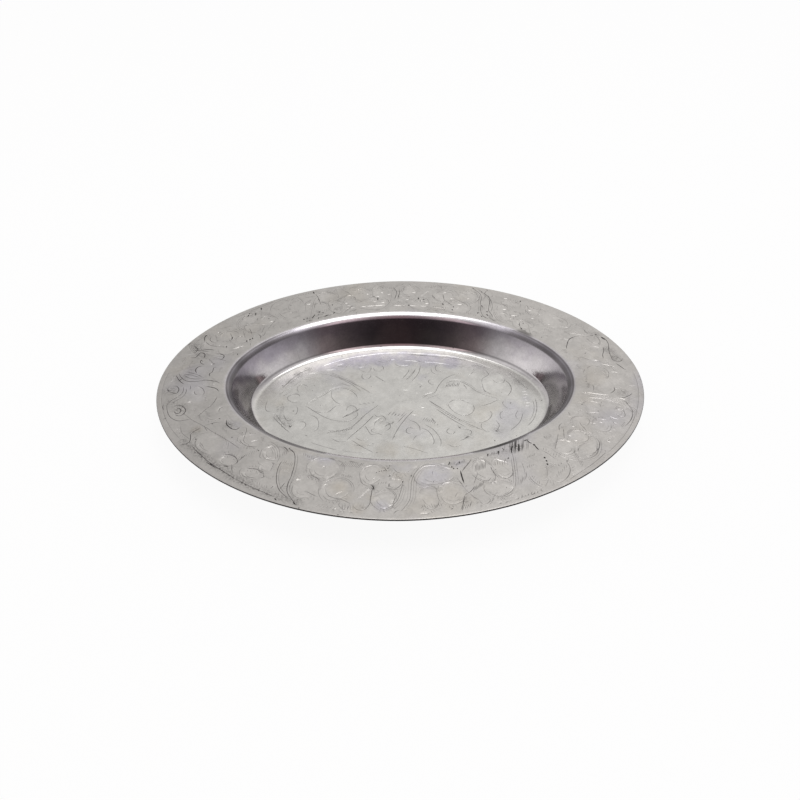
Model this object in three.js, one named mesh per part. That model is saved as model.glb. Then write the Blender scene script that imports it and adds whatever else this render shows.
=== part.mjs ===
// Rimmed oval serving dish, pressed from one sheet of silver-coloured metal.
//
// Millimetres, +Z up, length along X. The origin is under the middle of the floor, on the surface the dish stands on.
// The dish is one piece: a wide flat rim with a softened cut edge, a rounded shoulder, a steep plain wall, a fillet
// at its foot and a flat floor, all in the same sheet. Its section is drawn once as a closed profile, turned about
// the upright axis, and drawn in across the width so that each ring becomes an oval.

import * as THREE from 'three';

// Outline of the cut edge, seen from above
const LENGTH = 170;
const WIDTH = 130;
const OVAL_FULLNESS = 1.95; // 2 is a true ellipse, less is a little more pointed at the ends

// The sheet
const SHEET_GAUGE = 0.7;
const EDGE_ROUNDING = 0.22; // the cut edge is filed round at both corners

// The pressing, with sizes on the show side
const RIM_WIDTH = 22.3; // from the cut edge to where the shoulder starts to turn down
const WELL_DEPTH = 12; // from the rim down to the floor
const WALL_SLOPE = 62; // degrees up from the floor
const SHOULDER_RADIUS = 4;
const FOOT_RADIUS = 3; // fillet between wall and floor

// Facets
const TURN_STEPS = 96;
const BEND_STEPS = 6;
const EDGE_STEPS = 2;

// Levels and places on the long axis
const slope = THREE.MathUtils.degToRad(WALL_SLOPE);
const rimTop = SHEET_GAUGE + WELL_DEPTH;
const rimUnder = rimTop - SHEET_GAUGE;
const edgeHalf = LENGTH / 2;
const shoulderHalf = edgeHalf - RIM_WIDTH;
const bendRadii = SHOULDER_RADIUS + FOOT_RADIUS;
const wallDrop = WELL_DEPTH - bendRadii * (1 - Math.cos(slope));
const wallRun = bendRadii * Math.sin(slope) + wallDrop / Math.tan(slope);
const floorHalf = shoulderHalf - wallRun;
const narrowing = (LENGTH - WIDTH) / 2; // how much shorter every ring is across the width than along the length

// Points along a round stretch of the section.
function bend(x, z, radius, fromAngle, toAngle, steps) {
  const clockwise = toAngle < fromAngle;
  return new THREE.EllipseCurve(x, z, radius, radius, fromAngle, toAngle, clockwise).getPoints(steps);
}

// The closed section on the long axis, from the middle of the floor out over the rim and back underneath. Both
// faces of a bend share one centre, so the sheet keeps its gauge.
function sheetSection() {
  const up = Math.PI / 2;
  const footZ = SHEET_GAUGE + FOOT_RADIUS;
  const shoulderZ = rimTop - SHOULDER_RADIUS;
  const edgeX = edgeHalf - EDGE_ROUNDING;

  const showSide = [
    new THREE.Vector2(0, SHEET_GAUGE),
    ...bend(floorHalf, footZ, FOOT_RADIUS, -up, slope - up, BEND_STEPS),
    ...bend(shoulderHalf, shoulderZ, SHOULDER_RADIUS, up + slope, up, BEND_STEPS),
  ];
  const cutEdge = [
    ...bend(edgeX, rimTop - EDGE_ROUNDING, EDGE_ROUNDING, up, 0, EDGE_STEPS),
    ...bend(edgeX, rimUnder + EDGE_ROUNDING, EDGE_ROUNDING, 0, -up, EDGE_STEPS),
  ];
  const underside = [
    ...bend(shoulderHalf, shoulderZ, SHOULDER_RADIUS - SHEET_GAUGE, up, up + slope, BEND_STEPS),
    ...bend(floorHalf, footZ, FOOT_RADIUS + SHEET_GAUGE, slope - up, -up, BEND_STEPS),
    new THREE.Vector2(0, 0),
  ];
  return [...showSide, ...cutEdge, ...underside].reverse();
}

// Bends a cosine or sine towards the pointed oval, keeping its sign.
function fuller(value) {
  return Math.sign(value) * Math.abs(value) ** (2 / OVAL_FULLNESS);
}

// Draws a turned form in across the width. From the edge to the foot of the wall every ring loses the same amount,
// so rim and wall keep their width all the way round. The floor shrinks evenly to its middle.
function drawIntoOval(geometry) {
  const position = geometry.getAttribute('position');
  for (let i = 0; i < position.count; i += 1) {
    const x = position.getX(i);
    const y = position.getY(i);
    const half = Math.hypot(x, y);
    if (half > 0) {
      const across = half >= floorHalf ? half - narrowing : half * (1 - narrowing / floorHalf);
      position.setX(i, half * fuller(x / half));
      position.setY(i, across * fuller(y / half));
    }
  }
  geometry.computeVertexNormals();
  return geometry;
}

const polishedSheet = new THREE.MeshStandardMaterial({ color: 0xb9b6b0, metalness: 1, roughness: 0.3 });

const turned = new THREE.LatheGeometry(sheetSection(), TURN_STEPS).rotateX(Math.PI / 2);
const pressedSheet = new THREE.Mesh(drawIntoOval(turned), polishedSheet);
pressedSheet.name = 'dish';

const servingDish = new THREE.Group();
servingDish.add(pressedSheet);

export default servingDish;
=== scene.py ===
import math
from collections import namedtuple

import bmesh
import bpy
from mathutils import Matrix, Vector, noise
from mathutils.geometry import delaunay_2d_cdt
from mathutils.kdtree import KDTree


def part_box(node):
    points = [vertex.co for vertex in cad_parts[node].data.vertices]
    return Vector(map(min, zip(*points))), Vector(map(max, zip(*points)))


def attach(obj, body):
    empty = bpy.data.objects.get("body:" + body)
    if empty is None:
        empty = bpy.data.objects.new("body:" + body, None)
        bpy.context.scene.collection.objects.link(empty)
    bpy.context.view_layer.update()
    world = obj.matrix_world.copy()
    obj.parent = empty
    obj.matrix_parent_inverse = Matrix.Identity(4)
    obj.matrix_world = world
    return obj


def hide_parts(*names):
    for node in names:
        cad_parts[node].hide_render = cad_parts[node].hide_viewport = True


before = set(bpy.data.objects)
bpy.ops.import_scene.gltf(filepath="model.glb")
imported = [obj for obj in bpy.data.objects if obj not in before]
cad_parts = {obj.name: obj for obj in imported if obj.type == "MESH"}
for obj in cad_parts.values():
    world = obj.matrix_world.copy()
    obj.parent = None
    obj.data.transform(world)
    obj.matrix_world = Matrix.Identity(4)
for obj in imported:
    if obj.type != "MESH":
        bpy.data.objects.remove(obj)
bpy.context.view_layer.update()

MM = 0.001

# The pressed sheet, in millimetres, as the solid has it
_, dish_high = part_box("dish")
HALF_LENGTH = dish_high.x / MM
HALF_WIDTH = dish_high.y / MM
RIM_TOP = dish_high.z / MM
OVAL_FULLNESS = 1.95
SHEET_GAUGE = 0.7
EDGE_ROUNDING = 0.22
RIM_WIDTH = 22.3
WALL_SLOPE = math.radians(62)
WALL_BOW = math.radians(2.5)
SHOULDER_RADIUS = 4.0
FOOT_RADIUS = 3.0

WELL_DEPTH = RIM_TOP - SHEET_GAUGE
NARROWING = HALF_LENGTH - HALF_WIDTH
SHOULDER_HALF = HALF_LENGTH - RIM_WIDTH
BEND_RADII = SHOULDER_RADIUS + FOOT_RADIUS
WALL_DROP = WELL_DEPTH - BEND_RADII * (1 - math.cos(WALL_SLOPE))
WALL_RUN = BEND_RADII * math.sin(WALL_SLOPE) + WALL_DROP / math.tan(WALL_SLOPE)
FLOOR_HALF = SHOULDER_HALF - WALL_RUN
EDGE_HALF = HALF_LENGTH - EDGE_ROUNDING

# Fineness of the mesh
TURN_STEPS = 240
BEND_STEPS = 14
WALL_STEPS = 6
UNDER_STEPS = 7
EDGE_STEPS = 5
LIP = 0.7
EDGE_DROOP = 0.012
CUT_STEP = 0.5
PLATE_PITCH = 1.25
PLATE_MARGIN = 0.7
ROW_SPACING = 0.87
CUT_ROOM = 0.5
SPAN_REACH = 0.7
SHARP_ANGLE = math.radians(17)

# The engraver's cuts, as half widths, and the low relief between them
BOLD = 0.23
LINE = 0.15
NEEDLE = 0.11
FINE = 0.11
HAIR = 0.085
GOUGE = 0.3
SPECK = 0.34
STEM = 0.2
CUT_STEEPNESS = 0.38
CUT_ENTRY = 1.5
PETAL_SINK = 0.085
PETAL_SIDE = 0.55
SHEET_WAVE = 0.05
WAVE_LENGTH = 24.0
CUT_MARGIN = 1.5
WAVE_MARGIN = 6.0
FLOOR_PALENESS = 0.85

GROUND_ROWS = 5
GROUND_FANS = 58

Cut = namedtuple("Cut", "path half_width grime")
Petal = namedtuple("Petal", "middle reach depth along tip")
Smudge = namedtuple("Smudge", "middle radius strength")


# Shares

def held(value):
    """A value held between 0 and 1."""
    return min(1.0, max(0.0, value))


def peak(value, middle, reach):
    """1 at the middle, falling straight to 0 at its reach on either side."""
    return max(0.0, 1 - abs(value - middle) / reach)


def swell(angle, middle, reach):
    """1 at the middle, rounding down to 0 at its reach on either side."""
    return max(0.0, 1 - ((angle - middle) / reach) ** 2)


# Oval layout

def fuller(value):
    """Bends a cosine or sine towards the slightly pointed oval, keeping its sign."""
    return math.copysign(abs(value) ** (2 / OVAL_FULLNESS), value)


def across(half):
    """Half the width of the ring that has this half length."""
    if half >= FLOOR_HALF:
        return half - NARROWING
    return half * (1 - NARROWING / FLOOR_HALF)


def oval_point(half, turn):
    return Vector((half * fuller(math.cos(turn)), across(half) * fuller(math.sin(turn))))


def ring_through(x, y):
    """Half length of the ring that passes through a point of the plan."""
    low = 0.01
    high = HALF_LENGTH + 1
    for _ in range(20):
        half = (low + high) / 2
        reach = (abs(x) / half) ** OVAL_FULLNESS + (abs(y) / across(half)) ** OVAL_FULLNESS
        if reach > 1:
            low = half
        else:
            high = half
    return (low + high) / 2


def oval_angle(x, y):
    """The oval's own angle at a plan point, in degrees from 0 to 360."""
    half = ring_through(x, y)
    along = math.copysign(abs(x / half) ** (OVAL_FULLNESS / 2), x)
    aside = math.copysign(abs(y / across(half)) ** (OVAL_FULLNESS / 2), y)
    return math.degrees(math.atan2(aside, along)) % 360


def on_rim(angle, inset):
    """Plan point at an angle in degrees and an inset from the cut edge."""
    return oval_point(HALF_LENGTH - inset, math.radians(angle))


def rim_degree(angle):
    """Millimetres along the middle of the rim for one degree."""
    middle = RIM_WIDTH / 2
    return (on_rim(angle + 0.5, middle) - on_rim(angle - 0.5, middle)).length


# Lines of the ornament

def evenly(points):
    """A smooth line through given points, as closely spaced points."""
    given = [Vector(p) for p in points]
    chain = [2 * given[0] - given[1], *given, 2 * given[-1] - given[-2]]
    line = []
    for before, start, end, after in zip(chain, chain[1:], chain[2:], chain[3:]):
        steps = max(1, math.ceil((end - start).length / CUT_STEP))
        for k in range(steps):
            t = k / steps
            bow = 2 * before - 5 * start + 4 * end - after
            lean = 3 * start - before - 3 * end + after
            line.append((2 * start + (end - before) * t + bow * t * t + lean * t ** 3) / 2)
    line.append(given[-1])
    return line


def leaf_tip(x, y):
    """The way a leaf points, in radians, different for each place in the layout."""
    return 2.4 * x + 1.7 * y


def waver(turn, tip):
    """Share of its radius that a hand-drawn leaf has at a turn. It is drawn out a little at its tip."""
    return 0.95 + 0.05 * math.sin(3 * turn + tip) + 0.15 * max(0.0, math.cos(turn - tip)) ** 5


def round_points(x, y, reach, depth, start, end, x_unit=1.0):
    """Points round a leaf or a curl, with the x axis measured in another unit where the layout needs it."""
    steps = max(5, math.ceil(max(reach, depth) * math.radians(abs(end - start)) / 0.9))
    points = []
    for k in range(steps + 1):
        turn = math.radians(start + (end - start) * k / steps)
        share = waver(turn, leaf_tip(x, y))
        points.append((x + share * reach * math.cos(turn) / x_unit, y + share * depth * math.sin(turn)))
    return points


def rim_line(points, half_width=LINE, grime=0.15):
    return Cut(evenly([on_rim(a, v) for a, v in points]), half_width, grime)


def rim_lines(lines, half_width, grime):
    return [rim_line(points, half_width, grime) for points in lines]


def rim_arc(angle, inset, radius, start, end, half_width=LINE, grime=0.15):
    """A round line on the rim. Its own angles start along the rim and turn towards the well."""
    return leaf_side(angle, inset, radius, radius, start, end, half_width, grime)


def leaf_side(angle, inset, reach, depth, start, end, half_width, grime):
    """Part of a leaf's outline, with half its length along the rim and half its depth towards the well."""
    return rim_line(round_points(angle, inset, reach, depth, start, end, rim_degree(angle)),
                    half_width, grime)


def floor_line(points, half_width=NEEDLE, grime=0.6):
    return Cut(evenly(points), half_width, grime)


def floor_lines(lines, half_width, grime):
    return [floor_line(points, half_width, grime) for points in lines]


def floor_arc(x, y, radius, start, end, half_width=NEEDLE, grime=0.6):
    return floor_line(round_points(x, y, radius, radius, start, end), half_width, grime)


def sheaf(cut, count, gap, half_width=HAIR, grime=0.1):
    """Finer lines that follow a cut on its left side, or on its right where the gap is negative."""
    path = cut.path
    last = len(path) - 1
    cuts = []
    for k in range(1, count + 1):
        trim = round(last * 0.07 * k) + 1
        line = []
        for i in range(trim, last + 1 - trim, 2):
            along = path[min(i + 1, last)] - path[max(i - 1, 0)]
            line.append(path[i] + along.orthogonal().normalized() * gap * k)
        if len(line) > 2:
            cuts.append(Cut(line, half_width, grime))
    return cuts


def fringe(cuts, length, pitch, taken):
    """Short strokes along the right of each main line, where there is room, to shade the ground."""
    strokes = []
    step = max(1, round(pitch / CUT_STEP))
    for cut in cuts:
        path = cut.path
        for k, i in enumerate(range(2, len(path) - 2, step)):
            along = (path[i + 1] - path[i - 1]).normalized()
            side = -along.orthogonal()
            reach = length * (1 + 0.35 * math.sin(1.9 * k))
            foot = path[i] + side * 0.36
            tip = foot + side * reach + along * 0.6 * reach
            if taken.clear(tip, 0.3) and taken.clear(foot.lerp(tip, 0.5), 0.25):
                strokes.append(Cut(evenly([foot, tip]), HAIR, 0.2))
    return strokes


def hatch(start, end, count, slant, half_width=FINE, grime=0.15):
    """A row of short cuts whose feet run from start to end on the plan, each drawn along slant."""
    cuts = []
    for k in range(count):
        foot = Vector(start).lerp(Vector(end), k / (count - 1))
        tip = foot + Vector(slant) * (1 + 0.22 * math.sin(k * 1.9))
        cuts.append(Cut(evenly([foot, tip]), half_width, grime))
    return cuts


def rim_hatch(start, end, count, length, lean, half_width=FINE, grime=0.15):
    """Short cuts on the rim from one place to another. A lean of 0 points to the well, 90 along the rim."""
    first = on_rim(*start)
    inward = (on_rim(start[0], start[1] + 1) - first).normalized()
    forward = (on_rim(start[0] + 0.5, start[1]) - first).normalized()
    turn = math.radians(lean)
    slant = (inward * math.cos(turn) + forward * math.sin(turn)) * length
    return hatch(first, on_rim(*end), count, slant, half_width, grime)


# Rim ornament, for the half between 180 and 360 degrees

def leaves():
    """The sunk leaves of the half pattern: angle, inset, half length along the rim and half depth."""
    by_the_first_eye = [(234.4, 7.1, 3.1, 2.3), (233.4, 17.6, 3.6, 3.2), (235.6, 11.6, 2.4, 2.2),
                        (226, 7.6, 2.9, 2.3)]
    after_the_first_eye = [(248.1, 8.6, 4.1, 4.6), (254.8, 9.8, 4.1, 4.4), (249.5, 17.2, 5, 4.3)]
    in_the_middle = [(279.8, 16.6, 6.2, 3.9), (276.9, 8, 2.7, 4.6), (282.6, 8.6, 4.1, 4.4),
                     (266.6, 7.4, 3.1, 3.4)]
    before_the_second_eye = [(293.3, 7, 3.7, 3.5), (292.2, 15.4, 3.3, 4.6), (297.2, 14, 3.1, 4.1),
                             (269, 14, 2.6, 2.6)]
    after_the_second_eye = [(319.8, 6.8, 2.8, 2.8), (316.3, 12.3, 3.2, 3.4), (322.8, 12.9, 3, 3),
                            (331.4, 9.6, 3.1, 3.1)]
    before_the_end = [(339.4, 7, 2.6, 2.4), (337.6, 14, 2.8, 2.8), (341, 16.2, 2.4, 2.6),
                      (330.2, 16, 2.8, 2.8)]
    at_the_end = [(198.4, 7.4, 2.7, 2.4), (188.6, 14.4, 2.7, 2.6), (193.8, 13.8, 2.6, 2.6),
                  (175.9, 8.1, 2.2, 2.2)]
    curls = [(217.6, 8.6, 5, 4.3), (224, 18.4, 3.5, 3), (203, 20.6, 2.8, 2.2), (175.2, 13.4, 2.4, 2.4),
             (262.6, 17.4, 3.4, 4)]
    return [*by_the_first_eye, *after_the_first_eye, *in_the_middle, *before_the_second_eye,
            *after_the_second_eye,
            *before_the_end, *at_the_end, *curls]


def leaf_outlines():
    """A leaf's side towards the edge is a darkened cut, dirt and painted shade, and its side towards the well
    is a clean cut.
    """
    cuts = []
    outlined = [leaf for leaf in leaves() if 205 < leaf[0] < 334]
    for k, leaf in enumerate(outlined):
        swing = 25 * math.sin(2.7 * k)
        cuts.append(leaf_side(*leaf, 205 + swing, 335 + swing, FINE, 0.28 + 0.12 * math.sin(1.9 * k)))
        cuts.append(leaf_side(*leaf, 25 + swing, 150 + swing, FINE, 0))
        angle, inset, reach, depth = leaf
        cuts.append(leaf_side(angle, inset, 0.68 * reach, 0.68 * depth, 190 - swing, 300 - swing, HAIR, 0.22))
        cuts.append(leaf_side(angle, inset, 1.14 * reach, 1.14 * depth, 30 - swing, 110 + swing, HAIR, 0.18))
        if reach > 2.9:
            cuts.append(leaf_side(angle, inset, 1.27 * reach, 1.27 * depth, 15 - swing, 85 + swing, HAIR,
                                  0.28))
            cuts.append(leaf_side(angle, inset, 1.24 * reach, 1.24 * depth, 160 + swing, 235 + swing, HAIR,
                                  0.32))
    return cuts


def eye_ribbons():
    """Two ribbons that cross the rim, each a slanting eye between a pair of lines."""
    first_left = rim_line([(246.2, 2.8), (243.4, 4.6), (241.4, 7), (239.9, 9.6), (238.8, 12), (238, 14.4),
                           (237.7, 16.4)],
                          LINE, 0.5)
    first_right = rim_line([(248.6, 1.2), (247.2, 2.6), (245, 5), (243.8, 8), (243.2, 11), (242.3, 14),
                            (240.9, 17.4),
                            (239, 20.2), (236.6, 21.8)], LINE, 0.6)
    second_left = rim_line([(296.3, 5.6), (298, 8.6), (300, 13), (302, 17), (303.3, 19.8)], HAIR, 0.25)
    return [
        first_left,
        *sheaf(first_left, 1, -0.7, HAIR, 0.15),
        first_right,
        *sheaf(first_right, 1, -0.8, HAIR, 0.15),
        rim_line([(237.2, 20), (235.4, 21.2), (232.6, 22)], LINE, 0.9),
        rim_line([(239, 20.4), (236.8, 21.3), (235.6, 22)], LINE, 0.8),
        rim_line([(247.4, 2), (248.1, 1.5), (248.5, 1)], BOLD, 1),
        rim_line([(243.4, 1.9), (243.8, 1.2), (244.4, 1)], BOLD, 0.9),
        rim_line([(241.1, 4.2), (241.2, 5.8)], LINE, 0.8),
        rim_line([(243.1, 4.6), (243, 6.6), (243, 8.8)], FINE, 0.6),
        rim_line([(239.4, 8.4), (239.2, 9.4)], LINE, 0.6),
        second_left,
        *sheaf(second_left, 1, 0.7, HAIR, 0.03),
        *sheaf(second_left, 1, -0.7, HAIR, 0.03),
        rim_line([(304.6, 4.6), (305.2, 2.8), (306.2, 1.7), (308.4, 2.3), (310.2, 3.6), (311.6, 5.6),
                  (312.4, 8)], FINE, 0.4),
        rim_line([(302.2, 2.3), (303.4, 3.4), (304.6, 4.6)], HAIR, 0.3),
        rim_line([(301.5, 2.2), (300.9, 4.6), (300.8, 7), (301.2, 8.6)], LINE, 0),
        rim_line([(301.9, 2.2), (301.3, 4.6), (301.2, 7), (301.6, 8.6)], FINE, 0.4),
        rim_line([(304.4, 5), (306.2, 7.6), (307.4, 10)], HAIR, 0.25),
        rim_line([(309.7, 7), (309.9, 8.2)], FINE, 0.5),
        rim_line([(300.8, 9), (302, 11.8), (303, 14.8)], HAIR, 0.2),
        rim_line([(310.8, 9.8), (311, 13), (310.6, 16)], FINE, 0.35),
        *rim_hatch((298.2, 6.2), (300.4, 7.6), 5, 2.6, 30, FINE, 0.35),
        *rim_hatch((306.4, 3.6), (310.4, 5.2), 6, 2, 38, HAIR, 0.15),
    ]


def sprig_beside_the_first_eye():
    stem = rim_line([(228.4, 21.4), (231, 21.2), (233.6, 20), (235.8, 17.6), (237, 14.6)], FINE, 0.2)
    return [
        stem,
        *sheaf(stem, 3, -0.7, HAIR, 0.2),
        rim_line([(231.6, 8.4), (232.4, 8.5), (233.2, 9), (234.4, 9.4), (236.2, 8.8), (237, 9.2)], FINE, 0.5),
        rim_line([(232, 6), (233, 5.2), (234, 5.4), (235.2, 5.9), (236.4, 6.4)], FINE, 0.45),
        rim_line([(236.6, 6.6), (237.4, 7.6), (236.8, 8.4)], FINE, 0.45),
        rim_line([(237.4, 10.4), (236.9, 12.6), (236, 14.4)], FINE, 0.25),
        rim_line([(231.8, 12.8), (233.4, 11.6), (235, 11.8)], HAIR, 0.2),
        rim_line([(230.4, 15.8), (231.4, 14.2), (232.6, 14)], FINE, 0.25),
        rim_line([(233.2, 14.6), (233.9, 15.2), (234.6, 16)], LINE, 0),
        rim_line([(230.4, 4.6), (229.4, 5.4), (228.4, 6.6), (227.6, 7.2)], FINE, 0.7),
        *rim_hatch((228.2, 9), (229.4, 15), 8, 2.4, -28, HAIR, 0.25),
        *rim_hatch((236, 15.4), (237.2, 19), 6, 2.2, -40, HAIR, 0.25),
        *rim_hatch((237.8, 4), (240.4, 3.8), 5, 1.6, -35, HAIR, 0.3),
    ]


def trefoil_after_the_first_eye():
    """Two leaves towards the edge and one, ringed, towards the well."""
    ring = leaf_side(249.5, 17.2, 6, 5.3, -20, 165, FINE, 0)
    return [
        ring,
        *sheaf(ring, 1, -0.6, HAIR, 0.08),
        rim_line([(251.4, 12.8), (252.4, 14.2), (253.2, 16.6)], LINE, 0),
        rim_line([(251.7, 12.6), (252.8, 14.2), (253.6, 16.6)], FINE, 0.5),
        rim_line([(248, 6.7), (249.2, 6.9), (250.8, 6.2), (252.2, 5.7)], FINE, 0.5),
        rim_line([(246.8, 5.4), (247.4, 5.6)], LINE, 0),
        rim_line([(248.8, 17.6), (249.4, 18.3), (250, 17.8)], LINE, 0),
        rim_line([(253.6, 7), (255.4, 6.6), (257.4, 6.2), (259.6, 5)], FINE, 0.45),
        rim_line([(255.2, 7.6), (256, 8.6), (256.8, 9.6)], LINE, 0),
        rim_line([(246, 13), (248.4, 13.4), (250.6, 12)], FINE, 0.35),
        rim_line([(247.2, 14.4), (248.2, 13.4), (249.6, 13.2)], HAIR, 0.2),
        *rim_hatch((253.4, 19), (259, 19.4), 12, 3, 12, FINE, 0.22),
        *rim_hatch((252.6, 2), (258, 2), 9, 1.6, 30, HAIR, 0.35),
        *rim_hatch((258.2, 2.2), (260.4, 2.4), 5, 2.6, -14, HAIR, 0.3),
        *rim_hatch((244.6, 9), (244.8, 15.6), 8, 1.6, 60, HAIR, 0.12),
        *rim_hatch((241.8, 20.4), (245.4, 19.6), 6, 1.6, -25, HAIR, 0.3),
    ]


def palmette_in_the_middle():
    """The large leaf nearest the middle, beside a sheaf of curling lines."""
    stem = rim_line([(270.4, 2.8), (272.4, 7), (273, 11), (273.4, 15), (274.8, 18.6), (277, 21), (280, 21.8)],
                    FINE, 0.15)
    return [
        stem,
        *sheaf(stem, 1, 0.8, HAIR, 0.02),
        *sheaf(stem, 2, -0.75, HAIR, 0.03),
        rim_line([(284.8, 15), (285.3, 12), (285.8, 9), (286.7, 6.2), (287.4, 4.4)], LINE, 0),
        rim_line([(286.2, 7.2), (286.8, 5.6), (287.7, 4.6)], HAIR, 0.3),
        rim_line([(278.6, 13.6), (279, 14.4), (279.4, 15)], LINE, 0),
        rim_line([(278.9, 16.4), (279.2, 18), (279.7, 19.2)], HAIR, 0.2),
        rim_line([(278.6, 12.4), (279.3, 11), (280, 12.6)], FINE, 0.3),
        rim_line([(282.6, 6.8), (283.2, 8), (283.8, 9)], HAIR, 0.35),
        rim_line([(281.6, 18.4), (282.6, 18.2)], FINE, 0.4),
        rim_line([(276.2, 21.8), (277.4, 21.9), (278.8, 21.9)], LINE, 0.7),
        rim_line([(268.8, 2), (269.4, 3.2), (270.4, 3.8)], FINE, 0.5),
        rim_line([(274.4, 1.9), (275.8, 1.7), (276.6, 2.4)], FINE, 0.5),
        *rim_hatch((275.4, 4), (279.4, 3.8), 9, 1.6, -12, HAIR, 0.2),
        *rim_hatch((282.8, 1.6), (284.8, 2.2), 5, 2.4, 30, FINE, 0.35),
        *rim_hatch((285.8, 19), (288.2, 19.8), 6, 2.4, 34, FINE, 0.45),
    ]


def trefoil_before_the_second_eye():
    """One leaf towards the edge and two, hatched, towards the well."""
    return [
        rim_line([(291, 4.9), (293, 4.1), (295, 4.8), (296.4, 6.2)], FINE, 0.5),
        rim_line([(296.2, 6.8), (296.3, 8), (296, 9)], LINE, 0),
        rim_line([(292.4, 9.7), (293.4, 9.9)], LINE, 0),
        rim_line([(289.9, 13.4), (290.7, 11.7), (292, 11.1), (293.2, 12.2)], FINE, 0.6),
        rim_line([(294.6, 12.4), (295.5, 10.6), (297, 10.2), (298.6, 11.4), (299.8, 13.8)], FINE, 0.4),
        rim_line([(294.4, 15), (294.9, 16)], FINE, 0.5),
        *rim_hatch((290, 15.4), (292.8, 15.6), 8, 3.6, 26, FINE, 0.35),
        *rim_hatch((296, 16), (299, 15), 6, 2.2, 25, HAIR, 0.2),
        *rim_hatch((287, 7.6), (289.8, 9.4), 8, 2.6, 32, FINE, 0.35),
        *rim_hatch((288, 10.6), (289.4, 13), 5, 2.2, 34, HAIR, 0.3),
        *rim_hatch((286.8, 16.4), (290, 19.6), 9, 2, 36, FINE, 0.25),
        *rim_hatch((295.6, 20.2), (299.4, 20.2), 9, 1.8, 30, FINE, 0.8),
        *rim_hatch((295.2, 1.2), (300.6, 1.3), 8, 1.3, 40, FINE, 0.5),
        *rim_hatch((289, 2), (291, 5), 5, 1.8, 60, HAIR, 0.2),
    ]


def sprays_after_the_second_eye():
    stem = rim_line([(313, 13), (313.6, 9.4), (315.4, 5.4), (318.4, 3.8), (321, 4.2), (324.6, 6.8),
                     (325.8, 10.8), (325, 15)],
                    FINE, 0.2)
    return [
        stem,
        *sheaf(stem, 1, 0.7, HAIR, 0.06),
        *sheaf(stem, 1, -0.7, HAIR, 0.06),
        rim_line([(308, 1.2), (312, 1.7), (316.4, 1.9), (322, 2.2)], FINE, 0.45),
        rim_line([(321.2, 4.4), (321.8, 5)], LINE, 0.9),
        rim_line([(317.4, 5.4), (317.9, 4.6)], LINE, 0),
        rim_line([(317.4, 8.4), (318.2, 9), (318.9, 9.6)], FINE, 0.4),
        rim_line([(321.4, 18.2), (323.6, 20), (326.1, 20.4)], FINE, 0.4),
        rim_line([(321.9, 19), (324.3, 20.3), (326.1, 19.9)], HAIR, 0.2),
        rim_line([(315.6, 19), (316.2, 20.4)], FINE, 0.5),
        rim_line([(331, 20), (333.6, 22.2)], FINE, 0.6),
        *rim_hatch((313.4, 3), (316, 8.4), 8, 1.6, 60, HAIR, 0.3),
        *rim_hatch((313.8, 13.4), (318.6, 16.8), 9, 2, 50, HAIR, 0.3),
        *rim_hatch((319.4, 15), (322.4, 17.4), 7, 1.8, 45, HAIR, 0.25),
        *rim_hatch((326.8, 4.6), (329.6, 3.2), 6, 2.1, -28, HAIR, 0.2),
        *rim_hatch((326.4, 12), (328.4, 15), 6, 1.8, 40, HAIR, 0.25),
    ]


def sprays_before_the_end():
    ribbon = rim_line([(334.7, 3), (338, 2.4), (341, 3), (343.4, 6.4), (344.9, 11.4), (346, 16.4),
                       (347.3, 20.9)], FINE, 0.25)
    return [
        ribbon,
        *sheaf(ribbon, 3, -0.6, HAIR, 0.2),
        rim_line([(343.8, 9.2), (344.6, 12.6), (344.5, 15.9), (344.4, 18.4)], FINE, 0.2),
        rim_line([(340.3, 8.7), (342.5, 8.1), (341.7, 6.2), (339.4, 4.9)], FINE, 0.3),
        rim_arc(339.6, 7, 1.1, 100, 380, HAIR, 0.2),
        rim_line([(340, 13), (341.8, 13.8), (342.6, 16.2), (341.6, 18.6), (339.4, 19.4)], FINE, 0.2),
        rim_line([(336.6, 14), (338, 13.2), (338.8, 14.6)], HAIR, 0.2),
        *rim_hatch((333, 5), (335.4, 8), 6, 1.7, 30, HAIR, 0.2),
        *rim_hatch((333, 12), (334.6, 16), 6, 1.8, 50, HAIR, 0.25),
    ]


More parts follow.
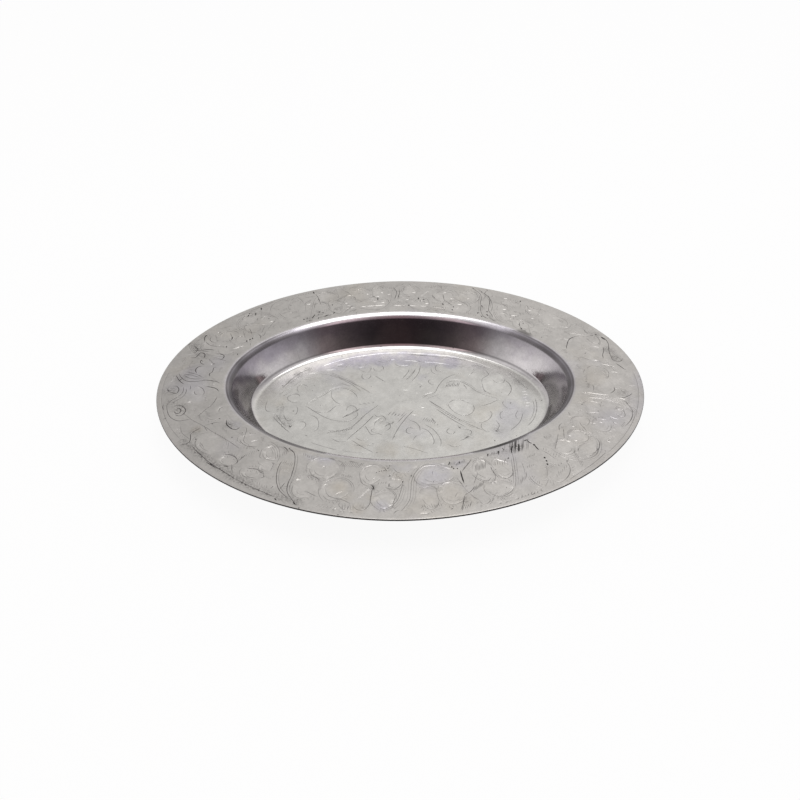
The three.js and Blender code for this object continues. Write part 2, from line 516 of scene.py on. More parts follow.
def scrolls_at_the_left_end():
    """The waving stems, the spiral and the leaves at the left end, where dirt has filled the lines."""
    dark = [
        ((178.1, 4.9), (181.5, 7), (183.9, 9.1)), ((181.5, 7), (179.8, 7.8)),
        ((185.7, 3.4), (187.2, 4.1), (186.7, 5.3)),
        ((187.6, 4.1), (188.6, 6.7), (186.6, 7.5), (184.8, 6.6), (184.7, 5.6)),
        ((161.1, 3.1), (162.1, 4.9), (162.8, 6.8)), ((165.4, 5.7), (163, 5.9), (162.1, 4.8)),
        ((163.8, 4.6), (162.9, 6.8), (161.4, 10), (161.3, 12.1)),
        ((167.7, 5.8), (167.4, 7.6), (165.7, 7.9), (164.3, 7.9), (164.1, 9.3), (165.5, 10.5), (167.4, 11)),
        ((163.4, 13.4), (162.8, 15.1), (163.5, 17.2), (165.8, 17.7), (166.2, 16.2)),
        ((177.1, 12.3), (174.8, 11.1), (172.7, 11.3), (172.1, 12.8)),
        ((169.3, 12), (168.5, 10.6), (170.1, 11.2), (171.2, 13.3)),
        ((179.2, 17.5), (176.9, 16.8), (175.3, 17.5), (172.6, 17.2), (171.8, 18.4)),
        ((197.5, 5.2), (198.9, 5.6), (199, 6.8), (197.9, 7.5), (196.7, 6.9), (197, 5.7)),
        ((196, 5.5), (195, 6.6), (196.2, 8.4), (198.4, 9), (200.1, 7.8), (200.5, 6.2), (199.4, 5.1)),
        ((154.3, 2.8), (156, 3.1), (157.5, 4.8)),
        ((210.6, 18), (212.6, 17.8), (215.2, 18), (216.2, 19.3), (215.5, 20.6)),
        ((209.3, 19.2), (211.2, 18.2), (212.9, 17.8)), ((185.7, 16.5), (187.7, 20), (190.8, 21.4)),
        ((161.8, 21.8), (160.1, 20.9)), ((193, 10.3), (193.4, 10.8)), ((195.8, 8.4), (196.2, 8.8)),
        ((222.3, 2.9), (226.6, 3.1)),
    ]
    fine = [
        ((185, 9), (187.9, 9), (189.9, 8), (191.5, 5.9), (193.1, 4.1), (194.9, 3.3), (198.5, 3.2),
         (200.9, 3.8), (202.8, 5.3), (203.3, 7.6), (203.5, 9.6)),
        ((176.7, 5.5), (179.6, 7.3), (182, 10), (182.2, 13.5), (181.5, 16.5), (182.6, 19.7), (184.6, 22)),
        ((178.1, 7.7), (180.1, 10.5), (180.5, 13.7), (178.8, 15.7)),
        ((177.3, 6.9), (178, 10.5), (179.8, 14.1)),
        ((157.5, 4.8), (159, 8.2), (158.8, 11.4), (157.9, 14.2)),
        ((154.4, 4.7), (156.4, 6), (157.3, 8.6)), ((149.6, 8.8), (151.8, 12), (154.2, 13.3)),
        ((204.1, 18.5), (202, 19.4), (201, 21.4)), ((184.4, 11.2), (186.4, 11.5), (187.5, 11.2)),
        ((187.7, 12.7), (190.1, 13.1), (190.4, 14.4)),
        ((185.1, 13.8), (187, 15.6), (189.9, 16.2), (192.1, 15.1)),
        ((167.6, 14.2), (169.5, 15.5), (169.8, 16.6)), ((167, 12.9), (168.6, 14.5)),
        ((203.5, 11.1), (200.7, 14.9), (198, 18.1), (193.6, 20.5)),
        ((193.3, 2.4), (195.1, 2), (197, 2.3)), ((191.8, 4.2), (193, 3.7)),
        ((176, 8), (176.6, 10), (177.6, 12.4), (179.4, 15)),
        ((186, 10), (188.6, 10), (191, 8.8), (192.8, 6.4), (194.4, 5)),
        ((163.6, 6), (163, 8.4), (162.6, 11)), ((183, 21), (182, 18), (181.2, 14.8)),
    ]
    clean = [
        ((158.2, 17.5), (155.8, 19.1), (154.1, 19.7)), ((160.8, 18.1), (160, 19.9)),
        ((149.7, 13.8), (149.2, 14.7)), ((151.9, 5.3), (151.1, 6.1)),
        ((194.6, 10.2), (194.5, 11.3), (196.3, 11.2)), ((195.2, 4.8), (197.1, 4.9)),
        ((212.5, 20.9), (213.6, 20.6)),
    ]
    return [*rim_lines(dark, STEM, 0.95), *rim_lines(fine, LINE, 0.65), *rim_lines(clean, BOLD, 0)]


def scrolls_at_the_right_end():
    """The stems and leaves at the right end, most of them clean cuts that catch the light."""
    dark = [
        ((22.8, 2.4), (21, 1.9), (18.2, 2.8), (15.6, 4.5), (12.5, 5.9), (10.8, 5.4), (11.4, 4.2)),
        ((12.1, 6.1), (9.7, 6.4), (8.2, 5.2), (8.3, 3.7), (9.8, 2.5)),
        ((7.6, 6.4), (4.9, 5.2), (2.7, 4.1)), ((24.9, 3), (24.2, 2.9)),
        ((17.5, 5.7), (15.4, 6.6), (12.7, 8.7), (10.3, 9.4)),
        ((353.3, 10.1), (351.1, 9.9), (348.7, 11.4)),
        ((347.6, 9.6), (347.3, 7.1), (349.2, 4.7), (350.6, 3.9)), ((322.4, 3.1), (321.8, 2.4)),
        ((321.8, 5.1), (321.3, 4.6)), ((15.2, 14.6), (15.9, 13.4)),
    ]
    fine = [
        ((22.1, 17.4), (25.5, 14.2), (26.3, 10.1), (24.9, 7.3), (23.7, 3.8), (20.4, 4.6), (17.9, 7)),
        ((24.1, 7.5), (21.6, 7.9), (19.3, 6.5), (20.5, 4.6)), ((1.9, 19.8), (5, 18.4)),
        ((5, 17.9), (6.9, 15.5), (6.1, 13), (4.3, 11.2), (1.7, 10.7), (-1.4, 11.5), (-2.3, 12.7)),
        ((353.3, 9.7), (352.2, 7.2), (350.4, 4.7)), ((352, 8.5), (350.8, 7.1), (349, 5.9)),
        ((340.3, 8.5), (342, 7.6), (340.6, 5.6), (338.4, 4.7), (337.7, 6.1), (339, 7.8)),
        ((343.1, 3.7), (340.3, 2.7), (336.7, 2.6), (334, 3.2)), ((14.9, 19.5), (13, 16.4), (10.6, 14.1)),
        ((354.1, 17.3), (350.8, 16.9), (349, 17.3)),
        ((325.1, 6.7), (323.3, 5.5), (321.2, 4.7), (318.6, 4.7)),
    ]
    clean = [
        ((347.3, 20.9), (347.7, 17.6), (347.6, 14.6), (347.9, 11.7)),
        ((344.6, 18.2), (345, 15.6), (345.2, 13.5), (344.8, 11), (343.8, 8.3)),
        ((347, 9.2), (346.5, 6.6), (344.6, 5.2), (342.5, 3.4)),
        ((335.5, 17.4), (336, 15.5), (337, 13.3), (337.7, 12.5)), ((338.8, 14.9), (338.5, 14)),
        ((332.1, 11.4), (332.7, 10.5), (332.5, 9.5)), ((334, 10.1), (334.8, 9.5)),
        ((336.7, 9.1), (336.3, 7.7), (336.3, 6.1)), ((334.3, 7.2), (334.1, 5.7)),
        ((319, 16.3), (318.8, 14.8), (319.1, 14)), ((321.5, 15.5), (321.8, 14.3)),
        ((320.4, 12.5), (321.2, 11.6)), ((325.4, 12.4), (325.3, 11.4)), ((325.9, 4.9), (325.8, 3.3)),
        ((7.6, 11.6), (6, 8.9), (5.3, 7.2)), ((10.6, 14.1), (9.8, 12.1), (7.7, 11.3)),
        ((341.6, 8.8), (340.8, 7.1), (339.9, 5.9)), ((343.5, 6.7), (341.6, 4.5)),
        ((326, 17.2), (326.4, 16.1)), ((327.1, 19.1), (327.1, 18.5)),
    ]
    return [*rim_lines(dark, LINE, 0.85), *rim_lines(fine, FINE, 0.4), *rim_lines(clean, BOLD, 0)]


def curls_before_the_first_eye():
    return [
        rim_line([(214.2, 17.9), (214.8, 18.2)], BOLD, 1),
        rim_line([(210.6, 18.8), (212.4, 18.6), (214, 18.9)], HAIR, 0.6),
        rim_line([(215.9, 22), (217.4, 21.6), (219, 20.6), (220.8, 18.6), (222.4, 16.8)], HAIR, 0.5),
        rim_line([(218.6, 19.4), (219.2, 19)], LINE, 0.7),
        rim_line([(220, 18.3), (220.6, 18)], LINE, 0.9),
        rim_line([(222.9, 8.2), (224.4, 9.6), (226.4, 10), (228.4, 8.8), (228.7, 7.4)], FINE, 0.35),
        *rim_lines((
            [(223.1, 7.8), (223.8, 8.6)], [(222.8, 20.8), (223.6, 20.2)],
            [(224.4, 17.8), (224.9, 19), (225.5, 20)], [(212.4, 20.8), (213.2, 20.2)],
        ), LINE, 0),
        rim_line([(214.8, 6.8), (216.4, 6.7), (218, 6.2)], FINE, 0.25),
        rim_line([(226.6, 5), (227.3, 5.4), (228.1, 5.9)], BOLD, 1),
        rim_line([(224, 17), (226, 16.2), (228, 17.6)], FINE, 0.2),
        rim_line([(205, 5.4), (208.6, 4.4), (212.4, 5.2)], FINE),
        rim_line([(204.6, 13.4), (207, 15.4), (206.4, 17.6)], FINE),
        *rim_hatch((219.6, 13.8), (223, 14.4), 7, 2, 20, HAIR, 0.2),
        *rim_hatch((205.6, 7), (208, 9), 6, 1.9, 30, HAIR, 0),
    ]


def curls_between_the_leaves():
    stem = rim_line([(265.2, 3.8), (267.4, 4.4), (269.4, 6.8), (270.4, 10.4), (271, 14.4)], FINE, 0.3)
    hook = rim_line([(258.9, 17.6), (259.6, 20.6), (262, 22)], FINE, 0)
    return [
        stem,
        *sheaf(stem, 2, -0.7, HAIR, 0.03),
        hook,
        *sheaf(hook, 2, -0.62),
        rim_line([(268.4, 6), (269, 7.6), (269.3, 9)], FINE, 0.6),
        rim_line([(266.4, 12.6), (267.4, 11.8), (268.8, 11.8), (270.2, 13), (271, 14.6)], FINE, 0.55),
        *rim_lines((
            [(260, 19.4), (261, 20.5), (262.6, 21.2)], [(258.4, 20.6), (259.2, 21.6), (260.2, 22)],
            [(263, 15.4), (263.7, 15.9)],
        ), BOLD, 0),
        rim_line([(259.8, 15), (260.8, 13.3), (262.5, 12.3)], FINE, 0.45),
        rim_line([(268, 20.6), (269.6, 18.6), (271.8, 18.3), (273.4, 19.4)], FINE, 0.2),
        rim_line([(267, 16.2), (269, 15.4), (270.8, 15.4)], HAIR, 0.2),
        rim_arc(258.2, 4.4, 1.5, 120, 400, FINE),
        rim_arc(288.6, 4, 1.5, 150, 390, FINE),
        *rim_hatch((260.4, 7.2), (262.4, 11.4), 7, 1.7, 60, HAIR, 0),
        *rim_hatch((264.6, 13), (266.4, 13.6), 4, 1.5, 18, HAIR, 0.3),
    ]


def rim_ornament():
    """The half pattern and its copy turned half round, inside its border lines."""
    half = [*leaf_outlines(), *eye_ribbons(), *curls_before_the_first_eye()]
    half += [*curls_between_the_leaves(), *sprig_beside_the_first_eye(), *trefoil_after_the_first_eye()]
    half += [*palmette_in_the_middle(), *trefoil_before_the_second_eye(), *sprays_after_the_second_eye()]
    half += sprays_before_the_end()
    half += fringe([cut for cut in half if cut.half_width == FINE and len(cut.path) > 8],
                   1.0, 1.0, CutField(half))
    turned = [cut._replace(path=[-p for p in cut.path], grime=0.7 * cut.grime) for cut in half]
    drawn = [dirtier_to_the_left(cut) for cut in [*half, *turned]]
    drawn += [*scrolls_at_the_left_end(), *scrolls_at_the_right_end()]
    drawn += [*border_lines(), *rim_glints(), *rim_stains(), *far_specks()]
    return [*drawn, *ground_strokes(drawn, rim_petals())]


def dirtier_to_the_left(cut):
    """More dirt in a line of the left half, less in one at the right end."""
    middle = sum((p.x for p in cut.path), 0.0) / len(cut.path)
    left = held((-middle - 25) / 35)
    right = held((middle - 40) / 25)
    return cut._replace(grime=min(1.0, cut.grime * (1 + 0.8 * left) * (1 - 0.6 * right)))


def border_inset(angle):
    """How far in from the cut edge the border runs. It wanders inwards at the near left."""
    swing = math.exp(-((angle - 222) / 15) ** 2)
    return 1.9 + 1.7 * swing + 0.2 * math.sin(math.radians(3 * angle))


def border_lines():
    """The border line where it still shows, and a broken one along the far shoulder."""
    left = [(angle, border_inset(angle)) for angle in range(176, 216, 5)]
    right = [(angle, border_inset(angle)) for angle in range(322, 366, 5)]
    far_shoulder = ((109.6, 106.4), (105, 95.4), (92.6, 87.4), (87, 83), (82.6, 79.8), (77.6, 71.8))
    return [
        rim_line(left, HAIR, 0.3),
        rim_line(right, HAIR, 0.25),
        *(rim_line([(a, 18.2), ((a + b) / 2, 18.3), (b, 18.3)], 0.27, 0) for a, b in far_shoulder[:2]),
        *(rim_line([(a, 18.9), ((a + b) / 2, 19.1), (b, 19.3)], 0.27, 0) for a, b in far_shoulder[2:5]),
        rim_line([(77.6, 19.6), (74.7, 19.7), (71.8, 19.8)], 0.36, 0),
        *stained_border(216, 244, 22, 0.6),
        *stained_border(234, 243, 8, 0.65, -0.1),
        *stained_border(219, 229, 6, 0.4, 0.6),
        *stained_border(291, 302, 9, 0.5, -0.4),
        *stained_border(256, 262, 5, 0.5),
    ]


def stained_border(start, end, count, grime, aside=0.0):
    """A ragged run of short dashes where dirt has filled the border line."""
    dashes = []
    for k in range(count):
        angle = start + (end - start) * k / count
        inset = border_inset(angle) + aside + 0.16 * math.sin(5.1 * k)
        reach = 0.75 + 0.4 * math.sin(2.3 * k)
        end_inset = border_inset(angle + reach) + aside + 0.18 * math.sin(3.7 * k)
        dash = [(angle, inset), (angle + reach, end_inset)]
        dashes.append(rim_line(dash, LINE if k % 3 else BOLD, grime * (0.8 + 0.25 * math.sin(1.7 * k))))
    return dashes


def rim_glints():
    """Short clean cuts that catch the light at the right end and along the far side."""
    feet = [(352, 10), (354, 4.4), (331, 12.6), (359, 12), (2, 8.6), (12, 15), (18, 8), (24.6, 4.6), (33, 9),
            (166, 5)]
    far = [(43.6, 12.4), (47.5, 8.2), (49.7, 14.8), (54.4, 12.2), (67.6, 10), (72.4, 11.6), (69.2, 15.2),
           (75.4, 7.6)]
    far += [(81.8, 12.4), (82, 15.2), (80.4, 17), (87, 12), (87.4, 14.5), (85, 9), (93.7, 10.4), (95.8, 8.8),
            (96, 16.3)]
    far += [(97.7, 11.4), (99.2, 11.2), (100.7, 9.2), (98.6, 15.2), (106.4, 9), (110.4, 8.4), (108.6, 14.4),
            (107.6, 16.6)]
    far += [(112.4, 17.2), (127.2, 12.4), (135.4, 14), (138.6, 14.2), (149.6, 14.2), (151.4, 5.4),
            (155.6, 19.1), (160, 18.8)]
    far += [(49.4, 17.6), (37.4, 12.2), (57, 4.6), (64.6, 9.4), (103, 5), (120, 10), (143.6, 9), (170, 16),
            (158, 12)]
    cuts = []
    for k, (angle, inset) in enumerate([*feet, *far]):
        foot = on_rim(angle, inset)
        on_far_side = k >= len(feet)
        length = 0.75 if on_far_side else 1
        reach = Vector((1.3 + 0.5 * math.sin(1.7 * k), 0.4 * math.sin(2.9 * k))) * length
        cuts.append(Cut(evenly([foot - reach, foot, foot + reach]), GOUGE if on_far_side else LINE, 0.0))
    return cuts


def ground_strokes(drawn, petals):
    """Fans of short fine strokes that fill the ground between the leaves."""
    field = CutField(drawn)
    strokes = []
    for row in range(GROUND_ROWS):
        for k in range(GROUND_FANS):
            wander = math.sin(3.1 * k + 1.3 * row)
            angle = 360 * (k + 0.5 * (row % 2) + 0.2 * wander) / GROUND_FANS
            inset = 4.2 + 3.6 * row + 0.7 * math.sin(2.3 * k)
            middle = on_rim(angle, inset + 0.8)
            if field.clear(middle, 0.75) and not in_petal(middle, petals):
                count = 4 + (k + row) % 3
                half_fan = 0.25 * count / rim_degree(angle)
                ends = (angle - half_fan, inset), (angle + half_fan, inset)
                strokes += rim_hatch(*ends, count, 1.8 + 0.4 * wander, 55 * math.sin(1.9 * k + row),
                                     HAIR, 0.3)
    return strokes


def rim_stains():
    """Dark hairline cracks, scores and specks that cross the ornament."""
    black = 1.0
    dotted = [(263.6, 18.1), (264.3, 18.5), (264.9, 18.8), (265.6, 18.9), (266.2, 19.2), (266.6, 20),
              (267, 20.9), (267.4, 21.6)]
    flecks = [(284.9, 18), (285.9, 17.8), (284.6, 18.8), (284.1, 20)]
    return [
        rim_line([(213, 0.9), (213.3, 3.4), (213, 4.6), (211.4, 5.8), (210.3, 6.4), (209.5, 8.4),
                  (208.8, 11)], LINE, 0.9),
        rim_line([(208.8, 11), (208.6, 13), (208.8, 15), (209.6, 17.2)], FINE, 0.7),
        rim_line([(199, 7.6), (204, 9.5), (208.6, 11.5), (213, 12.6), (217, 13.4), (221, 13.7), (225, 13.5)],
                 HAIR, 0.8),
        rim_line([(208.8, 11.5), (210.2, 11.5), (212, 11.3)], FINE, 0.7),
        rim_line([(214.6, 4.2), (217, 3.9), (220, 3.7), (223, 3.5), (226, 3.4), (229, 3.3), (232, 3)],
                 LINE, 0.9),
        rim_line([(232, 3), (235, 2.8), (238, 2.6), (241, 2.3), (243.2, 2)], FINE, 0.8),
        rim_line([(226.6, 3.6), (227.2, 3.4)], 0.4, black),
        rim_line([(200.5, 0.9), (200.3, 2.4)], FINE, black),
        rim_line([(227.7, 13.4), (228, 11), (228.3, 9), (228.6, 7)], FINE, 0.8),
        rim_line([(215, 22), (215.8, 21.9)], BOLD, black),
        rim_line([(260.1, 4.2), (261.2, 3.1), (262.6, 3.3), (263.5, 5.5), (263.5, 8.2), (263.5, 12.4)],
                 LINE, 0.3),
        *(rim_line([(a, v), (a + 0.4, v + 0.6)], GOUGE, black) for a, v in dotted),
        rim_line([(262.8, 13), (263.6, 12.4), (264, 10.8)], BOLD, black),
        rim_line([(283, 1.2), (284, 4.4), (285, 7.4)], LINE, 0.9),
        rim_line([(285, 7.5), (286, 7.8)], BOLD, 0.9),
        rim_line([(286, 7.8), (287.2, 8.8), (288.2, 10.2)], LINE, 0.8),
        rim_line([(286, 11.6), (286.2, 14.4), (286.6, 17.4)], GOUGE, black),
        *(rim_line([(a, v), (a + 0.3, v + 0.8)], GOUGE, black) for a, v in flecks),
        rim_line([(284.2, 20.2), (284.9, 21.6)], BOLD, black),
        rim_line([(287.2, 20), (287.5, 21)], LINE, black),
        rim_line([(281, 2.6), (281.6, 3)], BOLD, black),
        rim_line([(267.4, 12.4), (267.5, 14.2)], LINE, black),
        rim_line([(267.2, 16.8), (267.9, 17.4)], 0.32, black),
        rim_line([(270.9, 14.2), (271.2, 15.2)], BOLD, black),
        rim_line([(302.5, 18.8), (304, 20.6), (305.8, 22.2)], GOUGE, black),
        rim_line([(303.2, 20), (304.6, 21.8)], 0.28, black),
        rim_line([(304.7, 18.2), (306.2, 20.2), (307.8, 22.2)], 0.36, black),
        rim_line([(305.6, 20.6), (306.2, 21.6)], GOUGE, black),
        *rim_lines((
            [(300.3, 17.2), (301.2, 17.8)], [(298.9, 19.8), (299.8, 21.2), (300.4, 22.2)],
            [(295.9, 20.6), (296.8, 22.2)], [(301.3, 20.8), (302.2, 22.2)],
        ), BOLD, black),
        rim_line([(297.6, 21), (298.2, 22.2)], LINE, black),
        rim_line([(307.7, 9.3), (308.1, 10.3)], 0.36, black),
        rim_line([(308.4, 10.6), (308.8, 11.6)], SPECK, black),
        rim_line([(308.9, 12), (309.3, 13)], 0.38, black),
        rim_line([(310.1, 15.8), (310.3, 17.2), (310.8, 18.8)], 0.28, black),
        rim_line([(310.6, 18.2), (310.8, 19.4)], 0.42, black),
        rim_line([(310.6, 19.4), (310.4, 20.6), (310.6, 22)], 0.28, black),
        rim_line([(294.5, 6.5), (294.9, 7)], LINE, black),
        rim_line([(326, 4.2), (326.6, 4.8)], LINE, black),
    ]


def far_specks():
    """Black specks and scores on the far side, most of them drawn towards the edge."""
    bold = [
        ((20.3, 2.3), (22.8, 2.4)), ((23.9, 3.3), (24.5, 2.6)), ((52.2, 4.1), (52.8, 3)),
        ((61.3, 14.7), (62.3, 12.8)), ((58.5, 17.3), (59.1, 16.3)), ((57.1, 19.5), (58.5, 18.5)),
        ((58.8, 21.3), (59.6, 20.4)), ((61.4, 18.3), (61.4, 19.7)), ((70.6, 17.8), (71.1, 16.9)),
        ((70.4, 20.2), (71, 19.1)), ((74.6, 17), (75.1, 15.9)), ((81.5, 13.5), (82.2, 14.3)),
        ((83.4, 14.2), (83.8, 12.6)), ((86.6, 18), (86.8, 19.2)), ((97.6, 12.3), (97.8, 14.4)),
        ((112.9, 13.2), (113.5, 14.2)), ((113.8, 19.1), (115, 20.5)), ((116.5, 20.3), (118.7, 21.1)),
        ((120.3, 20.6), (121.5, 21.9)), ((117.5, 17.4), (118.3, 18.2)), ((118.5, 16.4), (119.3, 17.6)),
        ((120.7, 17.9), (123.4, 20.6)), ((124.2, 18.9), (124.9, 19.8)), ((125.6, 19), (126.3, 20.2)),
        ((124.3, 21.2), (125.2, 22.1)), ((116.3, 1), (116.3, 3.2)), ((133.2, 2), (134.1, 4.2)),
        ((137.4, 2.7), (138.2, 3.7)), ((138.5, 3.8), (139.3, 4.7)), ((136.1, 4.2), (137.4, 6.2)),
        ((151.2, 11.5), (152.4, 12.7)), ((156.9, 14.1), (158.4, 14.7)), ((147.7, 18.2), (148.8, 19.2)),
        ((148.9, 17.9), (149.8, 18.9)), ((150.2, 17.6), (151.4, 18.6)), ((154, 2.4), (155.6, 2.8)),
        ((43.2, 20.7), (41.4, 21.6)),
    ]
    fine = [
        ((63.9, 1.4), (63.7, 4.4), (62.2, 5.6), (61, 8), (60.3, 10.4), (59.6, 13), (58.6, 15.8), (57, 17.6),
         (55, 20)),
        ((66.8, 1.8), (65.4, 2.6), (64.4, 4.2)),
        ((71.2, 16.9), (72.6, 15.4), (74.6, 13.6), (75.6, 10.8), (76, 8.6)), ((77.8, 13.2), (79.4, 10.4)),
        ((77.3, 2.6), (77.4, 4.4)), ((82.6, 14.2), (82.9, 15.2), (82.4, 16.2)),
        ((92.4, 4.6), (91.2, 8.6), (91.6, 12), (92, 14.6)), ((90.4, 6.6), (90.2, 9.6), (90.8, 13.6)),
        ((105.4, 9.4), (104.8, 12.2)), ((116.1, 3), (116, 6), (116.3, 9), (116.8, 12.4)),
        ((119.4, 18), (120.2, 19.4)), ((144.6, 17.4), (145.2, 19.6), (146.4, 21), (147.2, 21.8)),
        ((156, 3.2), (157.2, 4.2), (158.2, 5.4)), ((143.8, 12), (145, 14.4), (146.6, 16.6)),
        ((26.4, 10.4), (26.2, 13), (25, 15), (23.6, 16.5), (21.8, 18), (20, 18.8)),
        ((25.8, 4), (26.6, 5.2), (28.4, 4.4)), ((43.2, 20.6), (44.6, 19.2), (45.7, 17.4)),
        ((146.7, 8.4), (147.3, 9.3)), ((137.3, 8.5), (138.9, 8.7)), ((136.8, 17.4), (138.2, 17.9)),
        ((65.7, 6.4), (65.9, 5.6)), ((66.3, 6.4), (66.5, 5.7)),
    ]
    dots = [((a, 18.4), (a + 0.3, 19.1)) for a in (72.4, 73.2, 74.2, 75.2, 76, 76.8, 77.6)]
    return [*rim_lines(bold, SPECK, 1.0), *rim_lines(fine, LINE, 0.7), *rim_lines(dots, BOLD, 0.6)]


def rim_petals():
    """The leaves are sunk a little inside their outlines."""
    petals = []
    for angle, inset, reach, depth in leaves():
        middle = on_rim(angle, inset)
        along = (on_rim(angle + 0.5, inset) - middle).normalized()
        tip = leaf_tip(angle, inset)
        petals += [Petal(middle, reach, depth, along, tip), Petal(-middle, reach, depth, -along, tip)]
    return petals


def rim_blooms():
    """Patches where the metal has turned lilac, and tan ones where the strength is negative."""
    spots = [(279.8, 17, 5.6, 0.9), (248.6, 21.4, 3.4, 0.9), (266.2, 5, 2.8, 0.8), (244, 21.6, 3, 0.6),
             (287, 20.6, 3, 0.7)]
    spots += [(271, 21.4, 4, 0.5), (276.6, 14.6, 3.4, 0.7), (213, 21, 4, 0.5), (222, 12, 5, 0.3),
              (300, 8, 5, 0.3)]
    spots += [(255.4, 10.6, 3.6, -0.9), (261.2, 3.6, 2.6, -0.9), (263.3, 8, 1.5, -0.8), (209, 9, 2.4, -0.8)]
    spots += [(258, 8, 3, -0.6), (283, 9, 3, -0.4), (270.4, 16.8, 3, -0.5), (265.4, 19, 2.4, -0.6),
              (240, 14, 4, -0.5)]
    return [Smudge(on_rim(angle, inset), radius, strength) for angle, inset, radius, strength in spots]


def rim_smudges():
    """Old dirt rubbed into the ornament: along the border, at the ends and by the heavy scores."""
    spots = [(212 + 1.5 * k, border_inset(212 + 1.5 * k) + 0.4, 1.9, 0.72) for k in range(24)]
    spots += [(302, 20.4, 2.2, 0.6), (306.4, 20.8, 2.6, 0.8), (299, 21, 2, 0.5), (285.4, 20.4, 1.8, 0.5)]
    spots += [(263.4, 12, 1.8, 0.7), (267, 20.4, 1.8, 0.6), (262.4, 4, 1.8, 0.5), (284.4, 5.4, 2, 0.6)]
    spots += [(187, 4.6, 3.4, 0.6), (197, 7.2, 3.6, 0.7), (180, 7.4, 3, 0.5), (193, 5, 3, 0.5),
              (176, 9, 3, 0.4)]
    spots += [(213, 2.2, 2.2, 0.6), (209.6, 8, 2.2, 0.6), (212.8, 18.6, 2.4, 0.6), (248.4, 2.2, 2, 0.8)]
    spots += [(161, 4, 3, 0.7), (155, 3.4, 2.6, 0.6), (137.6, 4.6, 2.4, 0.5), (166, 9, 3, 0.4),
              (124, 20.8, 2.4, 0.6)]
    spots += [(24, 3.4, 2.6, 0.6), (15, 5, 2.8, 0.7), (10, 5, 2.6, 0.7), (350, 7.4, 2.6, 0.5),
              (61, 15, 2.4, 0.4)]
    return [Smudge(on_rim(angle, inset), radius, strength) for angle, inset, radius, strength in spots]


# Floor ornament

def left_palmette():
    heart_top = floor_line([(-34.6, -1), (-31.5, 1.2), (-28.3, 4.3), (-25.5, 7.2), (-22, 8.4), (-18.8, 7.2),
                            (-16.4, 4.6),
                            (-15.6, 2.2)])
    heart_foot = floor_line([(-34.4, -1.6), (-31, -4.6), (-27, -7.8), (-23.2, -9.6), (-19.5, -10),
                             (-16.8, -8.8)], NEEDLE, 0.59)
    return [
        heart_top,
        *sheaf(heart_top, 1, 0.7),
        heart_foot,
        floor_line([(-31.5, -4.2), (-28.5, -5.4), (-26, -5), (-24.4, -3.2), (-23.2, -1.6), (-21, -0.9)],
                   NEEDLE, 0.59),
        floor_line([(-25.6, 7), (-25.4, 4), (-24.3, 1.5), (-22.6, -0.2), (-21, -0.9)]),
        floor_arc(-17.6, -3.6, 1.9, 215, -40, NEEDLE, 0.86),
        floor_line([(-15.9, -4.4), (-15.1, -6.6), (-16.8, -9.2), (-19.6, -10.4), (-23, -10.4)]),
        floor_line([(-32.4, -6.4), (-30, -8), (-28.8, -10.6), (-28.8, -13.4), (-30, -15.6)], NEEDLE, 0.59),
        floor_arc(-39.2, 2.9, 2.4, 0, 320, NEEDLE, 0.59),
        floor_arc(-39.6, -4.2, 2.9, 60, -65, NEEDLE, 0.59),
        floor_arc(-35.5, -12.2, 2.2, 100, -75, NEEDLE, 0.59),
        floor_line([(-45.6, -7.2), (-43.4, -10.2), (-40.6, -13.6), (-38.2, -16)], NEEDLE, 0.99),
        floor_line([(-44.6, -6), (-42.4, -9.8), (-39.8, -13)], FINE, 0.86),
        floor_line([(-26.4, 10.4), (-22, 10.9), (-18.2, 9.2)], FINE),
        floor_line([(-40.4, 9.4), (-37.4, 12.8), (-33.6, 14.6)], FINE),
        floor_arc(-36.6, 8.2, 2.2, 20, 250, FINE),
        floor_line([(-45.4, 3.4), (-43.6, 6.6), (-41, 9)], FINE, 0.46),
        floor_line([(-41.8, -8), (-39.6, -9.6), (-37.4, -9.2)], FINE, 0.59),
        *hatch((-20.6, -8.6), (-15.8, -5.2), 9, (1.3, 2.1), FINE, 1),
        *hatch((-45.6, -6.2), (-42.2, -12.6), 10, (1.2, 0.5), FINE, 0.99),
        *hatch((-25.4, -16.6), (-17.4, -14.8), 12, (0.7, 1.3), FINE, 1),
        *hatch((-43.6, 4.6), (-41, 7.8), 6, (1.3, -0.6), HAIR, 0.46),
        *hatch((-30, -2), (-27.4, -1.6), 4, (0.3, 0.9), FINE, 0.73),
    ]


